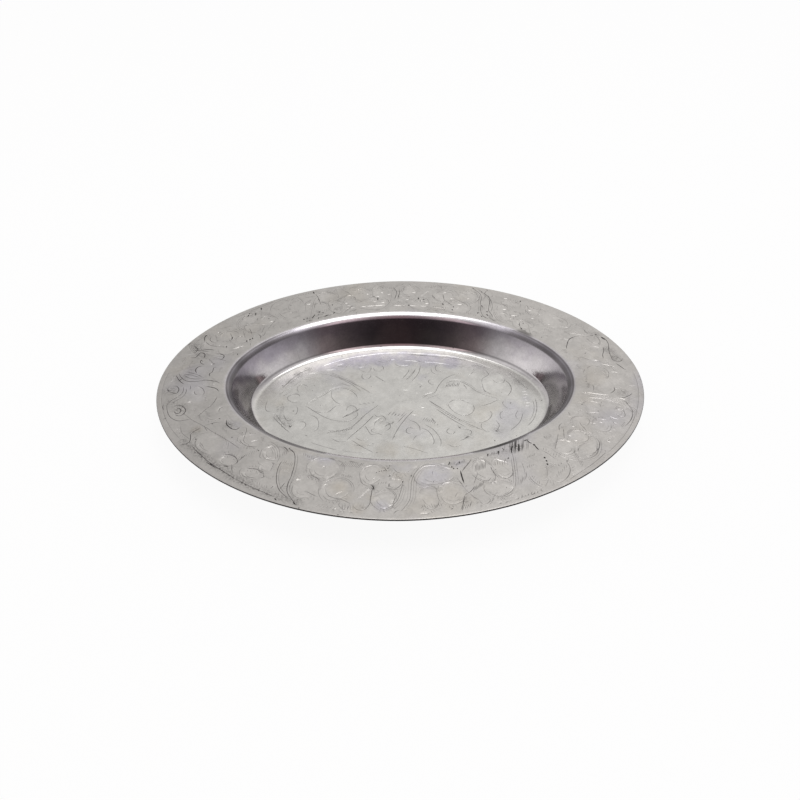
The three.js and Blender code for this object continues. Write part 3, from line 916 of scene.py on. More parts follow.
def right_palmette():
    heart_top = floor_line([(17, 10.6), (19.6, 12.1), (22.6, 12), (25.6, 9.6), (28.4, 6.2), (32, 3.6),
                            (36.4, 1.6)])
    return [
        heart_top,
        *sheaf(heart_top, 1, 0.7),
        floor_line([(17.4, -0.4), (18.2, -3.4), (20.4, -6.2), (23.2, -7.2), (25.6, -6.2), (26.9, -3.6),
                    (26.4, -1)], NEEDLE, 0.46),
        floor_line([(17.6, -0.6), (20, 1.2), (23, 1), (26.2, -1)], FINE),
        floor_line([(28.6, -2.4), (32.2, -1.2), (36.4, 1.4)], NEEDLE, 0.59),
        floor_line([(24, 10.2), (25.2, 7.2)], FINE),
        floor_line([(21.8, -9.6), (25.2, -11.1), (28.8, -11), (31.6, -9.4), (33, -6.8), (32.4, -4.6)],
                   NEEDLE, 0.59),
        floor_line([(29.2, -10.8), (28.6, -13.4), (29.8, -15.4), (32.4, -16)], FINE, 0.59),
        floor_line([(30.8, 11), (31.4, 13.6), (33.8, 16.2), (32.6, 19.4)], NEEDLE, 0.46),
        floor_line([(31, 10.8), (31.4, 7), (33.8, 4)]),
        floor_arc(37.4, 13.2, 2.3, 180, 390, NEEDLE, 0.59),
        floor_line([(39.6, 13), (41.3, 9.8), (41.4, 6.4), (39.6, 3)], NEEDLE, 0.73),
        floor_line([(34, -9.8), (35, -12.6), (33.8, -15.6)], FINE, 0.73),
        floor_arc(40, -1.2, 2.6, 130, 300, FINE),
        floor_line([(42.6, -4.6), (41.4, -7.4), (41.8, -9.6)], FINE, 0.59),
        floor_line([(26.6, 15.6), (28.4, 17.8), (31.2, 18)], FINE),
        floor_arc(37.6, -7.6, 2, 40, 280, FINE, 0.46),
        floor_line([(44.2, -6), (42.4, -11), (38.4, -15.6)], FINE, 0.46),
        *hatch((17, 8.2), (21.6, 8.8), 9, (0.9, 2.5), FINE, 0.99),
        *hatch((41.2, 15.8), (46.8, 6.8), 16, (1.2, 1), FINE, 0.99),
        *hatch((45.2, 5.6), (45.2, -2.4), 6, (1.9, 0.1), FINE, 0),
    ]


def crossing_stems():
    """The stems that cross in the middle of the floor and part the palmettes."""
    near_left = floor_line([(-25.5, -14.8), (-22.5, -15.2), (-19, -14.2), (-16, -11.8), (-13.6, -8.2),
                            (-11, -4.9),
                            (-7.6, -1.2)], NEEDLE, 0.99)
    far_left = floor_line([(-36.5, 16.6), (-32, 17.2), (-27, 16.2), (-22.5, 13.8), (-18.5, 10.8),
                           (-14.2, 6.2)], NEEDLE, 0.46)
    near_right = floor_line([(10.4, 1), (13.6, -2), (17, -5.4), (20.4, -8.8), (24.4, -12), (29.6, -15.4)])
    return [
        near_left,
        far_left,
        near_right,
        *sheaf(far_left, 2, 0.7),
        *sheaf(near_right, 1, -0.7),
        floor_line([(-18.5, -19.8), (-16, -16.6), (-13, -12.6), (-10.6, -9), (-8.9, -6.4)], NEEDLE, 0.99),
        floor_line([(-19.2, -15.3), (-17, -13.4), (-14.6, -10.2), (-12.4, -7)], FINE, 0.59),
        floor_line([(-24.5, 15.4), (-20, 12.9), (-15.4, 9.4), (-10.6, 5.2)], NEEDLE, 0.59),
        floor_line([(12.8, -3.4), (16, -6.8), (19.4, -10.2), (23.2, -13.4)], NEEDLE, 0.99),
        floor_line([(8.2, 2), (10.4, 4.4), (13, 5.6), (14.4, 9.2), (16.6, 13), (20, 15.8), (24, 17)]),
        floor_line([(9.4, 1.6), (12, 3.2), (14.6, 4.6)], FINE),
        floor_line([(5, -4.4), (2.4, -8.3), (0.2, -12.4), (-1.4, -16.2), (-2.6, -20)], NEEDLE, 1),
        floor_line([(2.8, -5.4), (0.8, -8.4), (-1, -11.4)], NEEDLE, 0.86),
        floor_line([(2, 12.6), (4.6, 16.4), (6.2, 20)]),
        floor_line([(4.2, 11.6), (7, 17), (8, 22)]),
        floor_line([(0.6, 13.4), (2.8, 17.2), (3.6, 20)], FINE),
        *hatch((-4.4, -7.2), (0.2, -8), 5, (1.3, 2.1), FINE, 1),
        *hatch((-15.4, -0.6), (-10.6, 0.4), 4, (1.7, -0.6), FINE, 0.86),
        *hatch((13.6, -4.4), (19, -9.4), 8, (0.9, 0.9), HAIR, 0.73),
    ]


def small_flowers():
    """The buds and curls between the stems, near and far."""
    return [
        floor_line([(-12.4, -12.2), (-11.2, -14.6), (-9.8, -17), (-7.6, -16.5), (-5.6, -17.6)], NEEDLE, 1),
        floor_line([(-9.2, -6.2), (-8.3, -7.6), (-6.4, -7.3), (-5.2, -8.6), (-4.9, -10.2)], NEEDLE, 1),
        floor_line([(-9, -12.8), (-8.6, -10.4), (-7.2, -8.8), (-5.6, -9)], NEEDLE, 0.73),
        floor_arc(-8.9, -14.9, 1, 60, 330, FINE, 0.86),
        floor_line([(-5.2, -10.4), (-3.6, -11.4), (-3.4, -13.6), (-5, -15.4)], FINE, 0.99),
        floor_line([(-15.4, -18.4), (-13.4, -19.8), (-11, -19.4)], NEEDLE, 0.59),
        floor_line([(3, -9.4), (5.4, -10.8), (6.9, -13), (7.1, -15.6)], NEEDLE, 0.86),
        floor_line([(7.2, -13.6), (9.6, -15), (11.2, -17.6), (11.8, -20.4), (11.2, -22.6)], NEEDLE, 0.99),
        floor_line([(8.6, -11.8), (11.4, -14.2), (13.4, -17.6), (14.2, -20.8), (13.8, -23.2)], NEEDLE, 0.59),
        floor_arc(3.6, -15.2, 1.5, 30, 300, NEEDLE, 0.86),
        floor_line([(4.4, -20.4), (5.6, -18), (7.6, -17)], FINE, 0.46),
        floor_arc(17.9, -15.4, 1.5, 80, 370, NEEDLE, 0.86),
        floor_line([(20.3, -12.2), (21.2, -14.2), (23.4, -14.6), (25, -15.6), (24.4, -17.8)], NEEDLE, 0.73),
        floor_line([(24.4, -17.8), (22.4, -19.4), (20.4, -20.4)], NEEDLE, 1),
        floor_line([(-10, 16), (-7.6, 13.8), (-5.4, 11.6)], NEEDLE, 1),
        floor_line([(-16.6, 20.4), (-13.2, 17.8), (-11.4, 19.4), (-11.4, 22)], FINE, 0.46),
        floor_arc(-13, 15.4, 1.8, 120, 400, FINE, 0.59),
        floor_arc(-8.4, 20.4, 2, 160, 420, FINE),
        floor_line([(12, 20.4), (12.2, 18), (14, 16)], FINE, 0.46),
        floor_arc(15.6, 20, 2.1, 100, 330, FINE),
        floor_arc(12.4, 11.8, 1.7, 60, 320, FINE),
        floor_arc(0.6, 24.6, 3.4, 205, 335),
        floor_line([(-17.4, 22.6), (-14.6, 22), (-12.6, 23.6)]),
        floor_line([(-26, 22.4), (-22, 21.4), (-18.6, 22.6)]),
        floor_line([(-9.6, 25.4), (-6.2, 24), (-3.4, 24.8)]),
        floor_line([(5.6, 25.6), (8.6, 24.2), (11.8, 25.2)]),
        floor_line([(19.6, 22.8), (22.4, 21.2), (25.6, 21.4)]),
        floor_line([(-16.8, -21.8), (-12, -22.6), (-8, -21.6)], FINE),
        floor_line([(-24, -18.6), (-21, -20.4), (-17.6, -20)], FINE, 0.46),
        floor_line([(16, -21.8), (18.6, -23.2), (21.6, -22.4)], FINE),
        *hatch((8, -10.2), (12, -11.8), 7, (1.1, 1.9), FINE, 0.99),
        *hatch((-5.4, -13.2), (-2.8, -11.8), 6, (0.9, 1.6), FINE, 1),
        *hatch((-9.4, -11.2), (-6.4, -10.6), 5, (0.4, 0.9), HAIR, 0.73),
    ]


def bright_dashes():
    """Short clean cuts scattered over the middle and the far side of the floor."""
    return floor_lines((
        [(10.3, 1.4), (12, -0.5), (14, -2.5), (16.2, -4.5)],
        [(13.4, 3), (14.2, 2.2), (15.2, 1.4)],
        [(8, 2.6), (9.2, 4.2), (10.8, 5), (12.6, 5.7)],
        [(6.4, 11.1), (7.6, 10), (8.7, 8.8)],
        [(0.6, 7.4), (1.8, 6.9), (3.2, 7.1)],
        [(-4.4, 6), (-3.8, 6.8)],
        [(-0.4, 3.6), (0.2, 4.6)],
        [(5.9, 5), (6.7, 5.4)],
        [(7, -2.6), (8.2, -3.1), (9.2, -2.8)],
        [(4.4, -6.9), (6.2, -7.1)],
        [(-0.9, -8.8), (-0.2, -7.9)],
        [(1.6, 13.2), (2.8, 14.5)],
        [(3.8, 12.2), (5.2, 14), (7, 16.2)],
        [(3.4, 15.4), (5, 17.8), (6, 20.2)],
        [(-2.6, 16.4), (-1.6, 15.8)],
        [(10.2, 17.4), (11.4, 16.8)],
        [(12.8, 16.4), (13.6, 15.8)],
        [(-1, 22.4), (0.8, 21.9), (2.6, 21.9), (4.4, 22.5)],
        [(-5, 26.2), (-3.4, 25.6), (-1.8, 26)],
        [(1.4, 25.2), (4.4, 24.8), (7.4, 24.5)],
        [(8.6, 24.2), (12, 23.8), (15, 23.3), (19.4, 22.2)],
        [(-15.9, 20.6), (-14.6, 21.2), (-13.2, 21)],
        [(-13.8, 25.2), (-12, 24.8)],
        [(-10.2, 24), (-8.8, 22.4), (-8, 21.6)],
        [(-29, 19.3), (-26, 19.5), (-22.4, 19.2)],
        [(-35.4, 17), (-32, 17.5), (-29.4, 17.3), (-27, 16.6)],
        [(-25, 22.2), (-23.4, 22.8), (-21.6, 23.6)],
        [(-36.2, 9.6), (-35.2, 8), (-35.4, 6)],
        [(-42.6, -0.4), (-42.2, -1.2)],
        [(-36.4, -9.4), (-35.9, -10.2)],
        [(16.8, -0.6), (17.4, -2.2)],
        [(23.8, 10.2), (24.8, 8.4)],
        [(26.2, 15.8), (27.2, 15.6)],
    ), LINE, 0)


def floor_border():
    """A bright line inside the far foot of the wall, a dark one along it, and faint ones at the right end."""
    return [
        floor_line([(-30.4, 21.6), (-27, 23.6), (-24, 25.2), (-20, 26.8), (-16, 28), (-10, 29.3), (-4, 30),
                    (2, 30), (8, 29.4),
                    (14, 28.6), (20, 27.6), (25, 25.8), (30, 23.3), (33, 21.4), (36.2, 18.8), (39.6, 15)],
                   BOLD, 0),
        floor_line([(-20, 26), (-14, 27.6), (-8, 28.7), (-2, 29.2), (3, 29.2)], FINE, 0.3),
        floor_line([(3, 29.1), (7, 28.7), (11, 28.1), (15, 27.4), (19, 26.8), (22.6, 26), (26, 24.6)],
                   BOLD, 0.6),
        floor_line([(12, 27.2), (16, 26.4), (20, 25.6), (24, 24.8)], FINE, 0.5),
        floor_line([(27, 21.8), (29.4, 21.6), (31.8, 20.9), (34, 19.9)], LINE, 0.7),
        floor_line([(-44.4, 8.4), (-43, 11), (-41, 14.4), (-38.6, 17.4), (-36.4, 19.4), (-33.8, 21)],
                   BOLD, 0.35),
        floor_line([(-43, 9), (-40.6, 13), (-38, 16.2)], FINE, 0.3),
        floor_line([(49.6, 2), (49.7, -2), (48.9, -6), (47.2, -10), (44.6, -13.4)], FINE, 0.25),
        floor_line([(48.6, 1), (48.6, -3), (47.6, -7), (45.8, -10.6)], HAIR, 0.2),
        floor_line([(-48.6, 2), (-49, -2), (-48, -4.4), (-45.4, -5)], FINE, 0.35),
        floor_line([(-31, -20.6), (-28, -22), (-25, -23.2), (-21, -24.6)], FINE, 0.45),
        floor_line([(-20, -24.8), (-16, -25.6), (-10, -26.2)], HAIR, 0.3),
    ]


def floor_stains():
    black = 1.0
    return [
        floor_line([(-39.2, -11.6), (-38.7, -13), (-38, -11.6)], BOLD, black),
        floor_line([(-43.2, -0.2), (-42.7, -0.9)], LINE, black),
        floor_line([(-42.6, -1.8), (-42, -2.4)], LINE, black),
        floor_line([(-42, -6), (-41.4, -7.4), (-40.4, -9.4)], FINE, black),
        *floor_lines((
            [(-32.5, 10.5), (-32.2, 9.7)], [(-32.9, 7.4), (-32.6, 6.7)], [(-11, 9.6), (-10.6, 8.9)],
            [(-9.5, -21.2), (-8.9, -21.7)],
        ), LINE, black),
        floor_line([(-33, -17), (-32, -17.6)], FINE, black),
        floor_line([(37.3, 5.7), (38, 5.1)], BOLD, black),
        floor_line([(33.3, -15.1), (34.2, -15.9)], BOLD, black),
        floor_line([(27, -13.8), (27.6, -14.4)], LINE, black),
        floor_line([(-16.8, -19.6), (-12.6, -23.2), (-8.6, -26)], HAIR, 0.9),
        floor_line([(-2.2, -17.8), (-1.4, -18.6)], FINE, black),
        floor_line([(22.4, -19), (24, -17.9)], LINE, black),
        floor_line([(11.2, -8.4), (12.6, -11)], FINE, black),
        floor_line([(0.4, -22.6), (4, -23.8), (9.8, -26.4)], HAIR, 0.7),
        floor_line([(28, 19.4), (29, 18.8)], FINE, black),
    ]


def floor_ornament():
    cuts = [*left_palmette(), *right_palmette(), *crossing_stems(), *small_flowers()]
    paler = [cut._replace(grime=FLOOR_PALENESS * cut.grime) for cut in cuts]
    return [*paler, *bright_dashes(), *floor_border(), *floor_stains()]


def floor_petals():
    leaves = [(-22.4, 2.6, 5), (-21, -5.4, 4.4), (-39.2, 2.9, 2.4), (-35.5, -12.2, 2.4), (22.6, -3, 4.4),
              (22.6, 7, 4.4)]
    leaves += [(37, 13, 2.6), (28.6, -7.6, 3.4), (-7.6, -12, 3.2), (10, -19, 3), (-29, -11.6, 3),
               (34.6, 9, 4)]
    return [Petal(Vector((x, y)), radius, radius, Vector((1, 0)), leaf_tip(x, y)) for x, y, radius in leaves]


def floor_tints_and_shade():
    """Lilac patches, tan ones along the near side, and a strong lilac band along the far side that is painted
    shade, partly lilac tarnish.
    """
    spots = [(-24, 23, 5, 1.4), (-16, 25, 6, 1.8), (-7, 26.4, 6, 1.8), (2, 26.6, 6, 1.8), (11, 25.6, 6, 1.8),
             (20, 23.6, 5, 1.4)]
    spots += [(8.6, 14.4, 2.6, 0.8), (40, -1.4, 3.4, 0.5), (-12, -4.4, 3, 0.4), (46, 1.6, 2.4, 0.5),
              (-30, 20, 3, 0.6)]
    spots += [(-4, -25, 5, -0.8), (5, -24.4, 4, -0.6), (-14, -22, 4, -0.5), (18, -22, 4, -0.5),
              (-44, 1, 4, -0.6)]
    return [Smudge(Vector((x, y)), radius, strength) for x, y, radius, strength in spots]


def floor_smudges():
    spots = [(-40, -10.6, 3.4, 0.6), (-43, -3, 3, 0.5), (-43.4, -8, 2.6, 0.6), (24, -18, 2.2, 0.5),
             (34, -15, 2.6, 0.5)]
    spots += [(-6, -10, 3, 0.35), (-20, -16, 3, 0.3), (44.6, 11, 2.6, 0.5), (-42, 12.4, 2, 0.6),
              (-39, 16.8, 2.2, 0.7), (-35.6, 19.6, 2.2, 0.6)]
    return [Smudge(Vector((x, y)), radius, strength) for x, y, radius, strength in spots]


# Cutting the ornament into the sheet

def opening(cut):
    """How far a cut has opened at each of its points, from 0 at a tip to 1."""
    path = cut.path
    along = [0.0]
    for start, end in zip(path, path[1:]):
        along.append(along[-1] + (end - start).length)
    entry = min(CUT_ENTRY, 0.35 * along[-1])
    wide = []
    for point, here in zip(path, along):
        pressure = 0.9 + 0.4 * noise.noise((0.3 * point).to_3d())
        wide.append(min(pressure, here / entry, (along[-1] - here) / entry))
    return wide


def cut_lines(cut):
    """The two lips of a cut and the bottom between them, each as a list of plan points."""
    path = cut.path
    last = len(path) - 1
    left = []
    right = []
    for i, wide in enumerate(opening(cut)):
        before = path[max(i - 1, 0)]
        after = path[min(i + 1, last)]
        side = (after - before).orthogonal().normalized() * cut.half_width * wide
        left.append(path[i] + side)
        right.append(path[i] - side)
    return [left, right, path]


class CutField:
    """Tells how deep the sheet is at a point, and how much dirt and shade darken it, from the cuts near it.
    """

    def __init__(self, cuts):
        self.spans = []
        for cut in cuts:
            wide = opening(cut)
            for i in range(len(cut.path) - 1):
                self.spans.append((cut.path[i], cut.path[i + 1], wide[i], wide[i + 1], cut))
        self.tree = KDTree(len(self.spans))
        for i, span in enumerate(self.spans):
            self.tree.insert(((span[0] + span[1]) / 2).to_3d(), i)
        self.tree.balance()

    def near(self, point, reach):
        """Distance to each cut span within reach, with its opening there."""
        for _, i, _ in self.tree.find_range(point.to_3d(), reach + SPAN_REACH):
            start, end, wide_start, wide_end, cut = self.spans[i]
            span = end - start
            t = held((point - start).dot(span) / max(span.length_squared, 1e-9))
            gap = (start + span * t - point).length
            yield gap, wide_start + (wide_end - wide_start) * t, cut

    def at(self, point):
        """Depth below the sheet, share of the groove's own depth, and how much dirt and shade darken it."""
        depth = 0.0
        groove = 0.0
        grime = 0.0
        for gap, wide, cut in self.near(point, BOLD):
            lip = cut.half_width * wide
            if gap < 1.05 * lip:
                grime = max(grime, cut.grime)
            if gap < 0.97 * lip:
                share = 1 - gap / lip
                depth = max(depth, CUT_STEEPNESS * lip * share)
                groove = max(groove, share)
        return depth, groove, grime

    def clear(self, point, room):
        return all(gap > room for gap, _, _ in self.near(point, room))


def in_petal(place, petals):
    """0 on the ground, rising to 1 over the sloping side of a petal."""
    inside = 0.0
    for petal in petals:
        offset = place - petal.middle
        if offset.length < 1.4 * max(petal.reach, petal.depth):
            along = petal.along.dot(offset) / petal.reach
            inward = petal.along.cross(offset) / petal.depth
            share = math.hypot(along, inward) / waver(math.atan2(inward, along), petal.tip)
            from_side = (1 - share) * min(petal.reach, petal.depth) + 0.3 * PETAL_SIDE
            inside = max(inside, min(1.0, from_side / PETAL_SIDE))
    return inside * inside * (3 - 2 * inside)


def unevenness(place):
    """Depth of the slow waves in a sheet worked by hand, from 0 down."""
    spot = place.to_3d() / WAVE_LENGTH
    wave = noise.noise(spot) + 0.4 * noise.noise(2.3 * spot + Vector((7, 3, 1)))
    return SHEET_WAVE * (0.5 - 0.5 * wave)


def dirt(place, smudges):
    """How thickly old dirt lies at a point."""
    thick = 0.0
    for smudge in smudges:
        share = (place - smudge.middle).length_squared / smudge.radius ** 2
        if share < 1:
            thick = max(thick, smudge.strength * (1 - share))
    return thick


def plate_points(low_half, high_half, field):
    """Loose points over a flat stretch between two rings, clear of the cuts."""
    points = []
    rows = math.ceil(2 * high_half / PLATE_PITCH)
    for row in range(rows):
        for column in range(rows):
            x = (column + 0.5 * (row % 2)) * PLATE_PITCH - high_half
            y = row * PLATE_PITCH * ROW_SPACING - high_half
            place = Vector((x, y))
            low, high = low_half + PLATE_MARGIN, high_half - PLATE_MARGIN
            if abs(y) < HALF_WIDTH and low < ring_through(x, y) < high and field.clear(place, CUT_ROOM):
                points.append(place)
    return points


def engrave(sheet, cuts, petals, smudges, blooms_and_shade, level, low_half, high_half):
    """Fills the flat stretch between two rings of the turned sheet, with the cuts in it."""
    field = CutField(cuts)
    points = []
    edges = []
    lilac_spots = [spot for spot in blooms_and_shade if spot.strength > 0]
    tan_spots = [spot._replace(strength=-spot.strength) for spot in blooms_and_shade if spot.strength < 0]

    def add_chain(chain, closed=False):
        first = len(points)
        points.extend(chain)
        edges.extend((i, i + 1) for i in range(first, len(points) - 1))
        if closed:
            edges.append((len(points) - 1, first))

    turns = [2 * math.pi * k / TURN_STEPS for k in range(TURN_STEPS)]
    for half in (low_half, high_half):
        if half:
            add_chain([oval_point(half, turn) for turn in turns], closed=True)
    for cut in cuts:
        for line in cut_lines(cut):
            add_chain(line)
    points += plate_points(low_half, high_half, field)

    places, _, corners, _, _, _ = delaunay_2d_cdt(points, edges, [], 0, 1e-3, False)
    marks = sheet.verts.layers.float
    made = []
    for place in places:
        half = ring_through(place.x, place.y)
        depth, groove, grime = field.at(place)
        edge_room = min(half - low_half if low_half else high_half, high_half - half)
        settle = held(edge_room / CUT_MARGIN)
        calm = held(edge_room / WAVE_MARGIN)
        petal = in_petal(place, petals)
        height = level - (depth + PETAL_SINK * petal) * settle - unevenness(place) * calm * calm
        vert = sheet.verts.new((place.x, place.y, height))
        vert[marks["petal"]] = petal
        vert[marks["groove"]] = groove
        vert[marks["grime"]] = grime
        vert[marks["smudge"]] = dirt(place, smudges)
        vert[marks["bloom_and_shade"]] = dirt(place, lilac_spots) - dirt(place, tan_spots)
        if low_half:
            vert[marks["scored"]] = scored(oval_angle(place.x, place.y), HALF_LENGTH - half)
        made.append(vert)
    for triangle in corners:
        middle = sum((places[i] for i in triangle), Vector((0, 0))) / 3
        if low_half < ring_through(middle.x, middle.y) < high_half:
            sheet.faces.new([made[i] for i in triangle])
    loose = [vert for vert in made if not vert.link_faces]
    bmesh.ops.delete(sheet, geom=loose, context="VERTS")


# The pressed sheet

def bend(x, z, radius, start, end, steps):
    """Section points along a round bend."""
    turns = [start + (end - start) * k / steps for k in range(steps + 1)]
    return [(x + radius * math.cos(turn), z + radius * math.sin(turn)) for turn in turns]


def bowed_wall(foot, top, steps):
    """Section points between the two bends, on a wall that is a little steeper at its foot."""
    foot = Vector(foot)
    top = Vector(top)
    reach = (top - foot).length
    leave = Vector((math.cos(WALL_SLOPE + WALL_BOW), math.sin(WALL_SLOPE + WALL_BOW))) * reach
    arrive = Vector((math.cos(WALL_SLOPE - WALL_BOW), math.sin(WALL_SLOPE - WALL_BOW))) * reach
    points = []
    for k in range(1, steps):
        t = k / steps
        place = foot * (2 * t ** 3 - 3 * t ** 2 + 1) + top * (3 * t ** 2 - 2 * t ** 3)
        place += leave * (t ** 3 - 2 * t ** 2 + t) + arrive * (t ** 3 - t ** 2)
        points.append(tuple(place))
    return points


def wall_and_bends(gauge_down, steps):
    """From the floor up the wall to the rim, on the top face or, a gauge below it, on the under face."""
    up = math.pi / 2
    foot_radius = FOOT_RADIUS + gauge_down
    shoulder_radius = SHOULDER_RADIUS - gauge_down
    foot = bend(FLOOR_HALF, SHEET_GAUGE + FOOT_RADIUS, foot_radius, -up, WALL_SLOPE + WALL_BOW - up, steps)
    shoulder = bend(SHOULDER_HALF, RIM_TOP - SHOULDER_RADIUS, shoulder_radius, up + WALL_SLOPE - WALL_BOW, up,
                    steps)
    return [*foot, *bowed_wall(foot[-1], shoulder[0], WALL_STEPS), *shoulder]


def well_section():
    """The lip of the floor, the wall with its bends, and the lip of the rim."""
    return [(FLOOR_HALF - LIP, SHEET_GAUGE), *wall_and_bends(0, BEND_STEPS), (SHOULDER_HALF + LIP, RIM_TOP)]


def edge_section():
    """The outer lip of the rim and round the cut edge of the sheet."""
    up = math.pi / 2
    low = RIM_TOP - SHEET_GAUGE + EDGE_ROUNDING
    return [
        (EDGE_HALF - LIP, RIM_TOP),
        (EDGE_HALF - 0.4 * LIP, RIM_TOP - 0.1 * EDGE_DROOP),
        *bend(EDGE_HALF, RIM_TOP - EDGE_DROOP - EDGE_ROUNDING, EDGE_ROUNDING, up, 0, EDGE_STEPS),
        *bend(EDGE_HALF, low, EDGE_ROUNDING, 0, -up, EDGE_STEPS),
    ]


def underside_section():
    """From the edge in under the rim and down the outside of the well."""
    under_rim = [(EDGE_HALF + (SHOULDER_HALF - EDGE_HALF) * k / 3, RIM_TOP - SHEET_GAUGE) for k in range(3)]
    return [*under_rim, *reversed(wall_and_bends(SHEET_GAUGE, UNDER_STEPS))]


def turn_section(sheet, section):
    """Turns an open section about the upright axis and draws it in to the oval."""
    chain = [sheet.verts.new((x, 0, z)) for x, z in section]
    spine = [sheet.edges.new(pair) for pair in zip(chain, chain[1:])]
    before = set(sheet.verts) - set(chain)
    bmesh.ops.spin(sheet, geom=[*chain, *spine], cent=(0, 0, 0), axis=(0, 0, 1), angle=2 * math.pi,
                   steps=TURN_STEPS, use_merge=True)
    made = set(sheet.verts) - before
    for vert in made:
        vert.co.xy = oval_point(math.hypot(vert.co.x, vert.co.y), math.atan2(vert.co.y, vert.co.x))
    return made


def mark_wall(sheet, made):
    """The bends and the wall are polished, with dirt at the mouth, a darker line under the shoulder at the
    ends and painted shade in the foot near the ends.
    """
    marks = sheet.verts.layers.float
    for vert in made:
        height = vert.co.z
        turn = math.atan2(vert.co.y, vert.co.x)
        angle = oval_angle(vert.co.x, vert.co.y)
        patchy = 0.75 + 0.6 * noise.noise(Vector((9 * math.cos(turn), 9 * math.sin(turn), 4)))
        under_shoulder = peak(height, RIM_TOP - 1.1, 0.9)
        at_the_mouth = peak(height, RIM_TOP - 0.32, 0.28)
        in_the_foot = peak(height, SHEET_GAUGE + 1.2, 1.1)
        at_ends = held((abs(math.cos(turn)) - 0.8) / 0.12)
        left_mouth = 0.75 * patchy * swell(angle, 234, 14)
        right_mouth = swell(angle, 302.5, 10)
        right_back = swell(angle, 39.4, 4.4) * peak(height, RIM_TOP - 0.1, 0.25)
        near_ends = max(swell(angle, 212, 25), swell(angle, 329, 25))
        grime = max(left_mouth, right_mouth, 0.45 * right_back)
        # Painted shade: the wall's foot near both ends is darkened.
        if in_the_foot:
            grime = 0.62 * near_ends
        elif under_shoulder:
            grime = max(grime, 0.5 * at_ends * patchy)
        from_flat = min(height - SHEET_GAUGE, RIM_TOP - height)
        vert[marks["polish"]] = held(from_flat / 0.25)
        vert[marks["groove"]] = max(under_shoulder, at_the_mouth, right_back, in_the_foot)
        vert[marks["grime"]] = grime
        vert[marks["scored"]] = scored(angle, RIM_WIDTH) * max(0.0, 1 - (RIM_TOP - height) / 1.5)


def scored(angle, inset):
    """Where the shoulder is scored with black strokes, at the near right."""
    return swell(angle, 306, 5) * held((inset - 18) / 2)


def paint_edge_shade(sheet, made):
    """Paints the side of the cut edge dark, as a painted dark reflection."""
    marks = sheet.verts.layers.float
    for vert in made:
        down = RIM_TOP - vert.co.z
        vert[marks["grime"]] = 0.97
        vert[marks["groove"]] = held((down - EDGE_DROOP - 0.02) / 0.08)


def close_under_floor(sheet):
    ring = [e for e in sheet.edges if e.is_boundary and all(abs(v.co.z) < 1e-4 for v in e.verts)]
    bmesh.ops.contextual_create(sheet, geom=ring)


def engraved_dish():
    sheet = bmesh.new()
    for mark in ("petal", "groove", "grime", "smudge", "bloom_and_shade", "polish", "scored", "back"):
        sheet.verts.layers.float.new(mark)
    under = turn_section(sheet, underside_section())
    for vert in under:
        vert[sheet.verts.layers.float["back"]] = 1.0
    close_under_floor(sheet)
    mark_wall(sheet, turn_section(sheet, well_section()))
    paint_edge_shade(sheet, turn_section(sheet, edge_section()))
    rim = rim_ornament(), rim_petals(), rim_smudges(), rim_blooms()
    engrave(sheet, *rim, RIM_TOP, SHOULDER_HALF + LIP, EDGE_HALF - LIP)
    floor = floor_ornament(), floor_petals(), floor_smudges(), floor_tints_and_shade()
    engrave(sheet, *floor, SHEET_GAUGE, 0, FLOOR_HALF - LIP)
    bmesh.ops.remove_doubles(sheet, verts=sheet.verts, dist=2e-3)
    bmesh.ops.recalc_face_normals(sheet, faces=sheet.faces)
    bmesh.ops.scale(sheet, vec=(MM, MM, MM), verts=sheet.verts)
    mesh = bpy.data.meshes.new("engraved_dish")
    sheet.to_mesh(mesh)
    sheet.free()
    mesh.shade_smooth()
    mesh.set_sharp_from_angle(angle=SHARP_ANGLE)
    dish = bpy.data.objects.new("engraved_dish", mesh)
    bpy.context.scene.collection.objects.link(dish)
    return dish


# Materials

class Nodes:
    """A node tree whose nodes are added one at a time."""

    def __init__(self, tree):
        self.tree = tree

    def add(self, kind, inputs=None, **settings):
        """A node with its settings and inputs. An input is a value or another node's socket."""
        made = self.tree.nodes.new(kind)
        for name, value in settings.items():
            setattr(made, name, value)
        for name, value in (inputs or {}).items():
            self.set(made.inputs[name], value)
        return made

    def set(self, socket, value):
        if isinstance(value, bpy.types.NodeSocket):
            self.tree.links.new(value, socket)
        else:
            socket.default_value = value

    def place(self):
        return self.add("ShaderNodeTexCoord").outputs["Object"]

    def mark(self, name):
        return self.add("ShaderNodeAttribute", attribute_name=name).outputs["Fac"]

    def cloud(self, scale, detail=4.0, roughness=0.6, where=None):
        inputs = {"Vector": where or self.place(), "Scale": scale, "Detail": detail, "Roughness": roughness}
        return self.add("ShaderNodeTexNoise", inputs).outputs["Fac"]

    def stretched(self, turn, scale):
        """Object coordinates turned about the upright axis and drawn out, for scratches."""
        inputs = {"Vector": self.place(), "Rotation": (0, 0, math.radians(turn)),
                  "Scale": [1 / s for s in scale]}
        return self.add("ShaderNodeMapping", inputs, vector_type="TEXTURE").outputs[0]

    def spread(self, value, low, high, to_low=0.0, to_high=1.0):
        """Maps a value from one range to another, and holds it there."""
        inputs = {"Value": value, "From Min": low, "From Max": high, "To Min": to_low, "To Max": to_high}
        return self.add("ShaderNodeMapRange", inputs).outputs["Result"]

    def soft_step(self, value, low, high):
        inputs = {"Value": value, "From Min": low, "From Max": high}
        return self.add("ShaderNodeMapRange", inputs, interpolation_type="SMOOTHSTEP").outputs["Result"]

    def sum(self, a, b):
        return self.add("ShaderNodeMath", {0: a, 1: b}, operation="ADD").outputs[0]

    def times(self, a, b):
        return self.add("ShaderNodeMath", {0: a, 1: b}, operation="MULTIPLY").outputs[0]

    def larger(self, a, b):
        return self.add("ShaderNodeMath", {0: a, 1: b}, operation="MAXIMUM").outputs[0]

    def blend(self, share, first, second):
        inputs = {"Factor": share, 6: first, 7: second}
        return self.add("ShaderNodeMix", inputs, data_type="RGBA").outputs[2]

    def dimmed(self, color, level):
        return self.add("ShaderNodeVectorMath", {0: color, "Scale": level}, operation="SCALE").outputs[0]


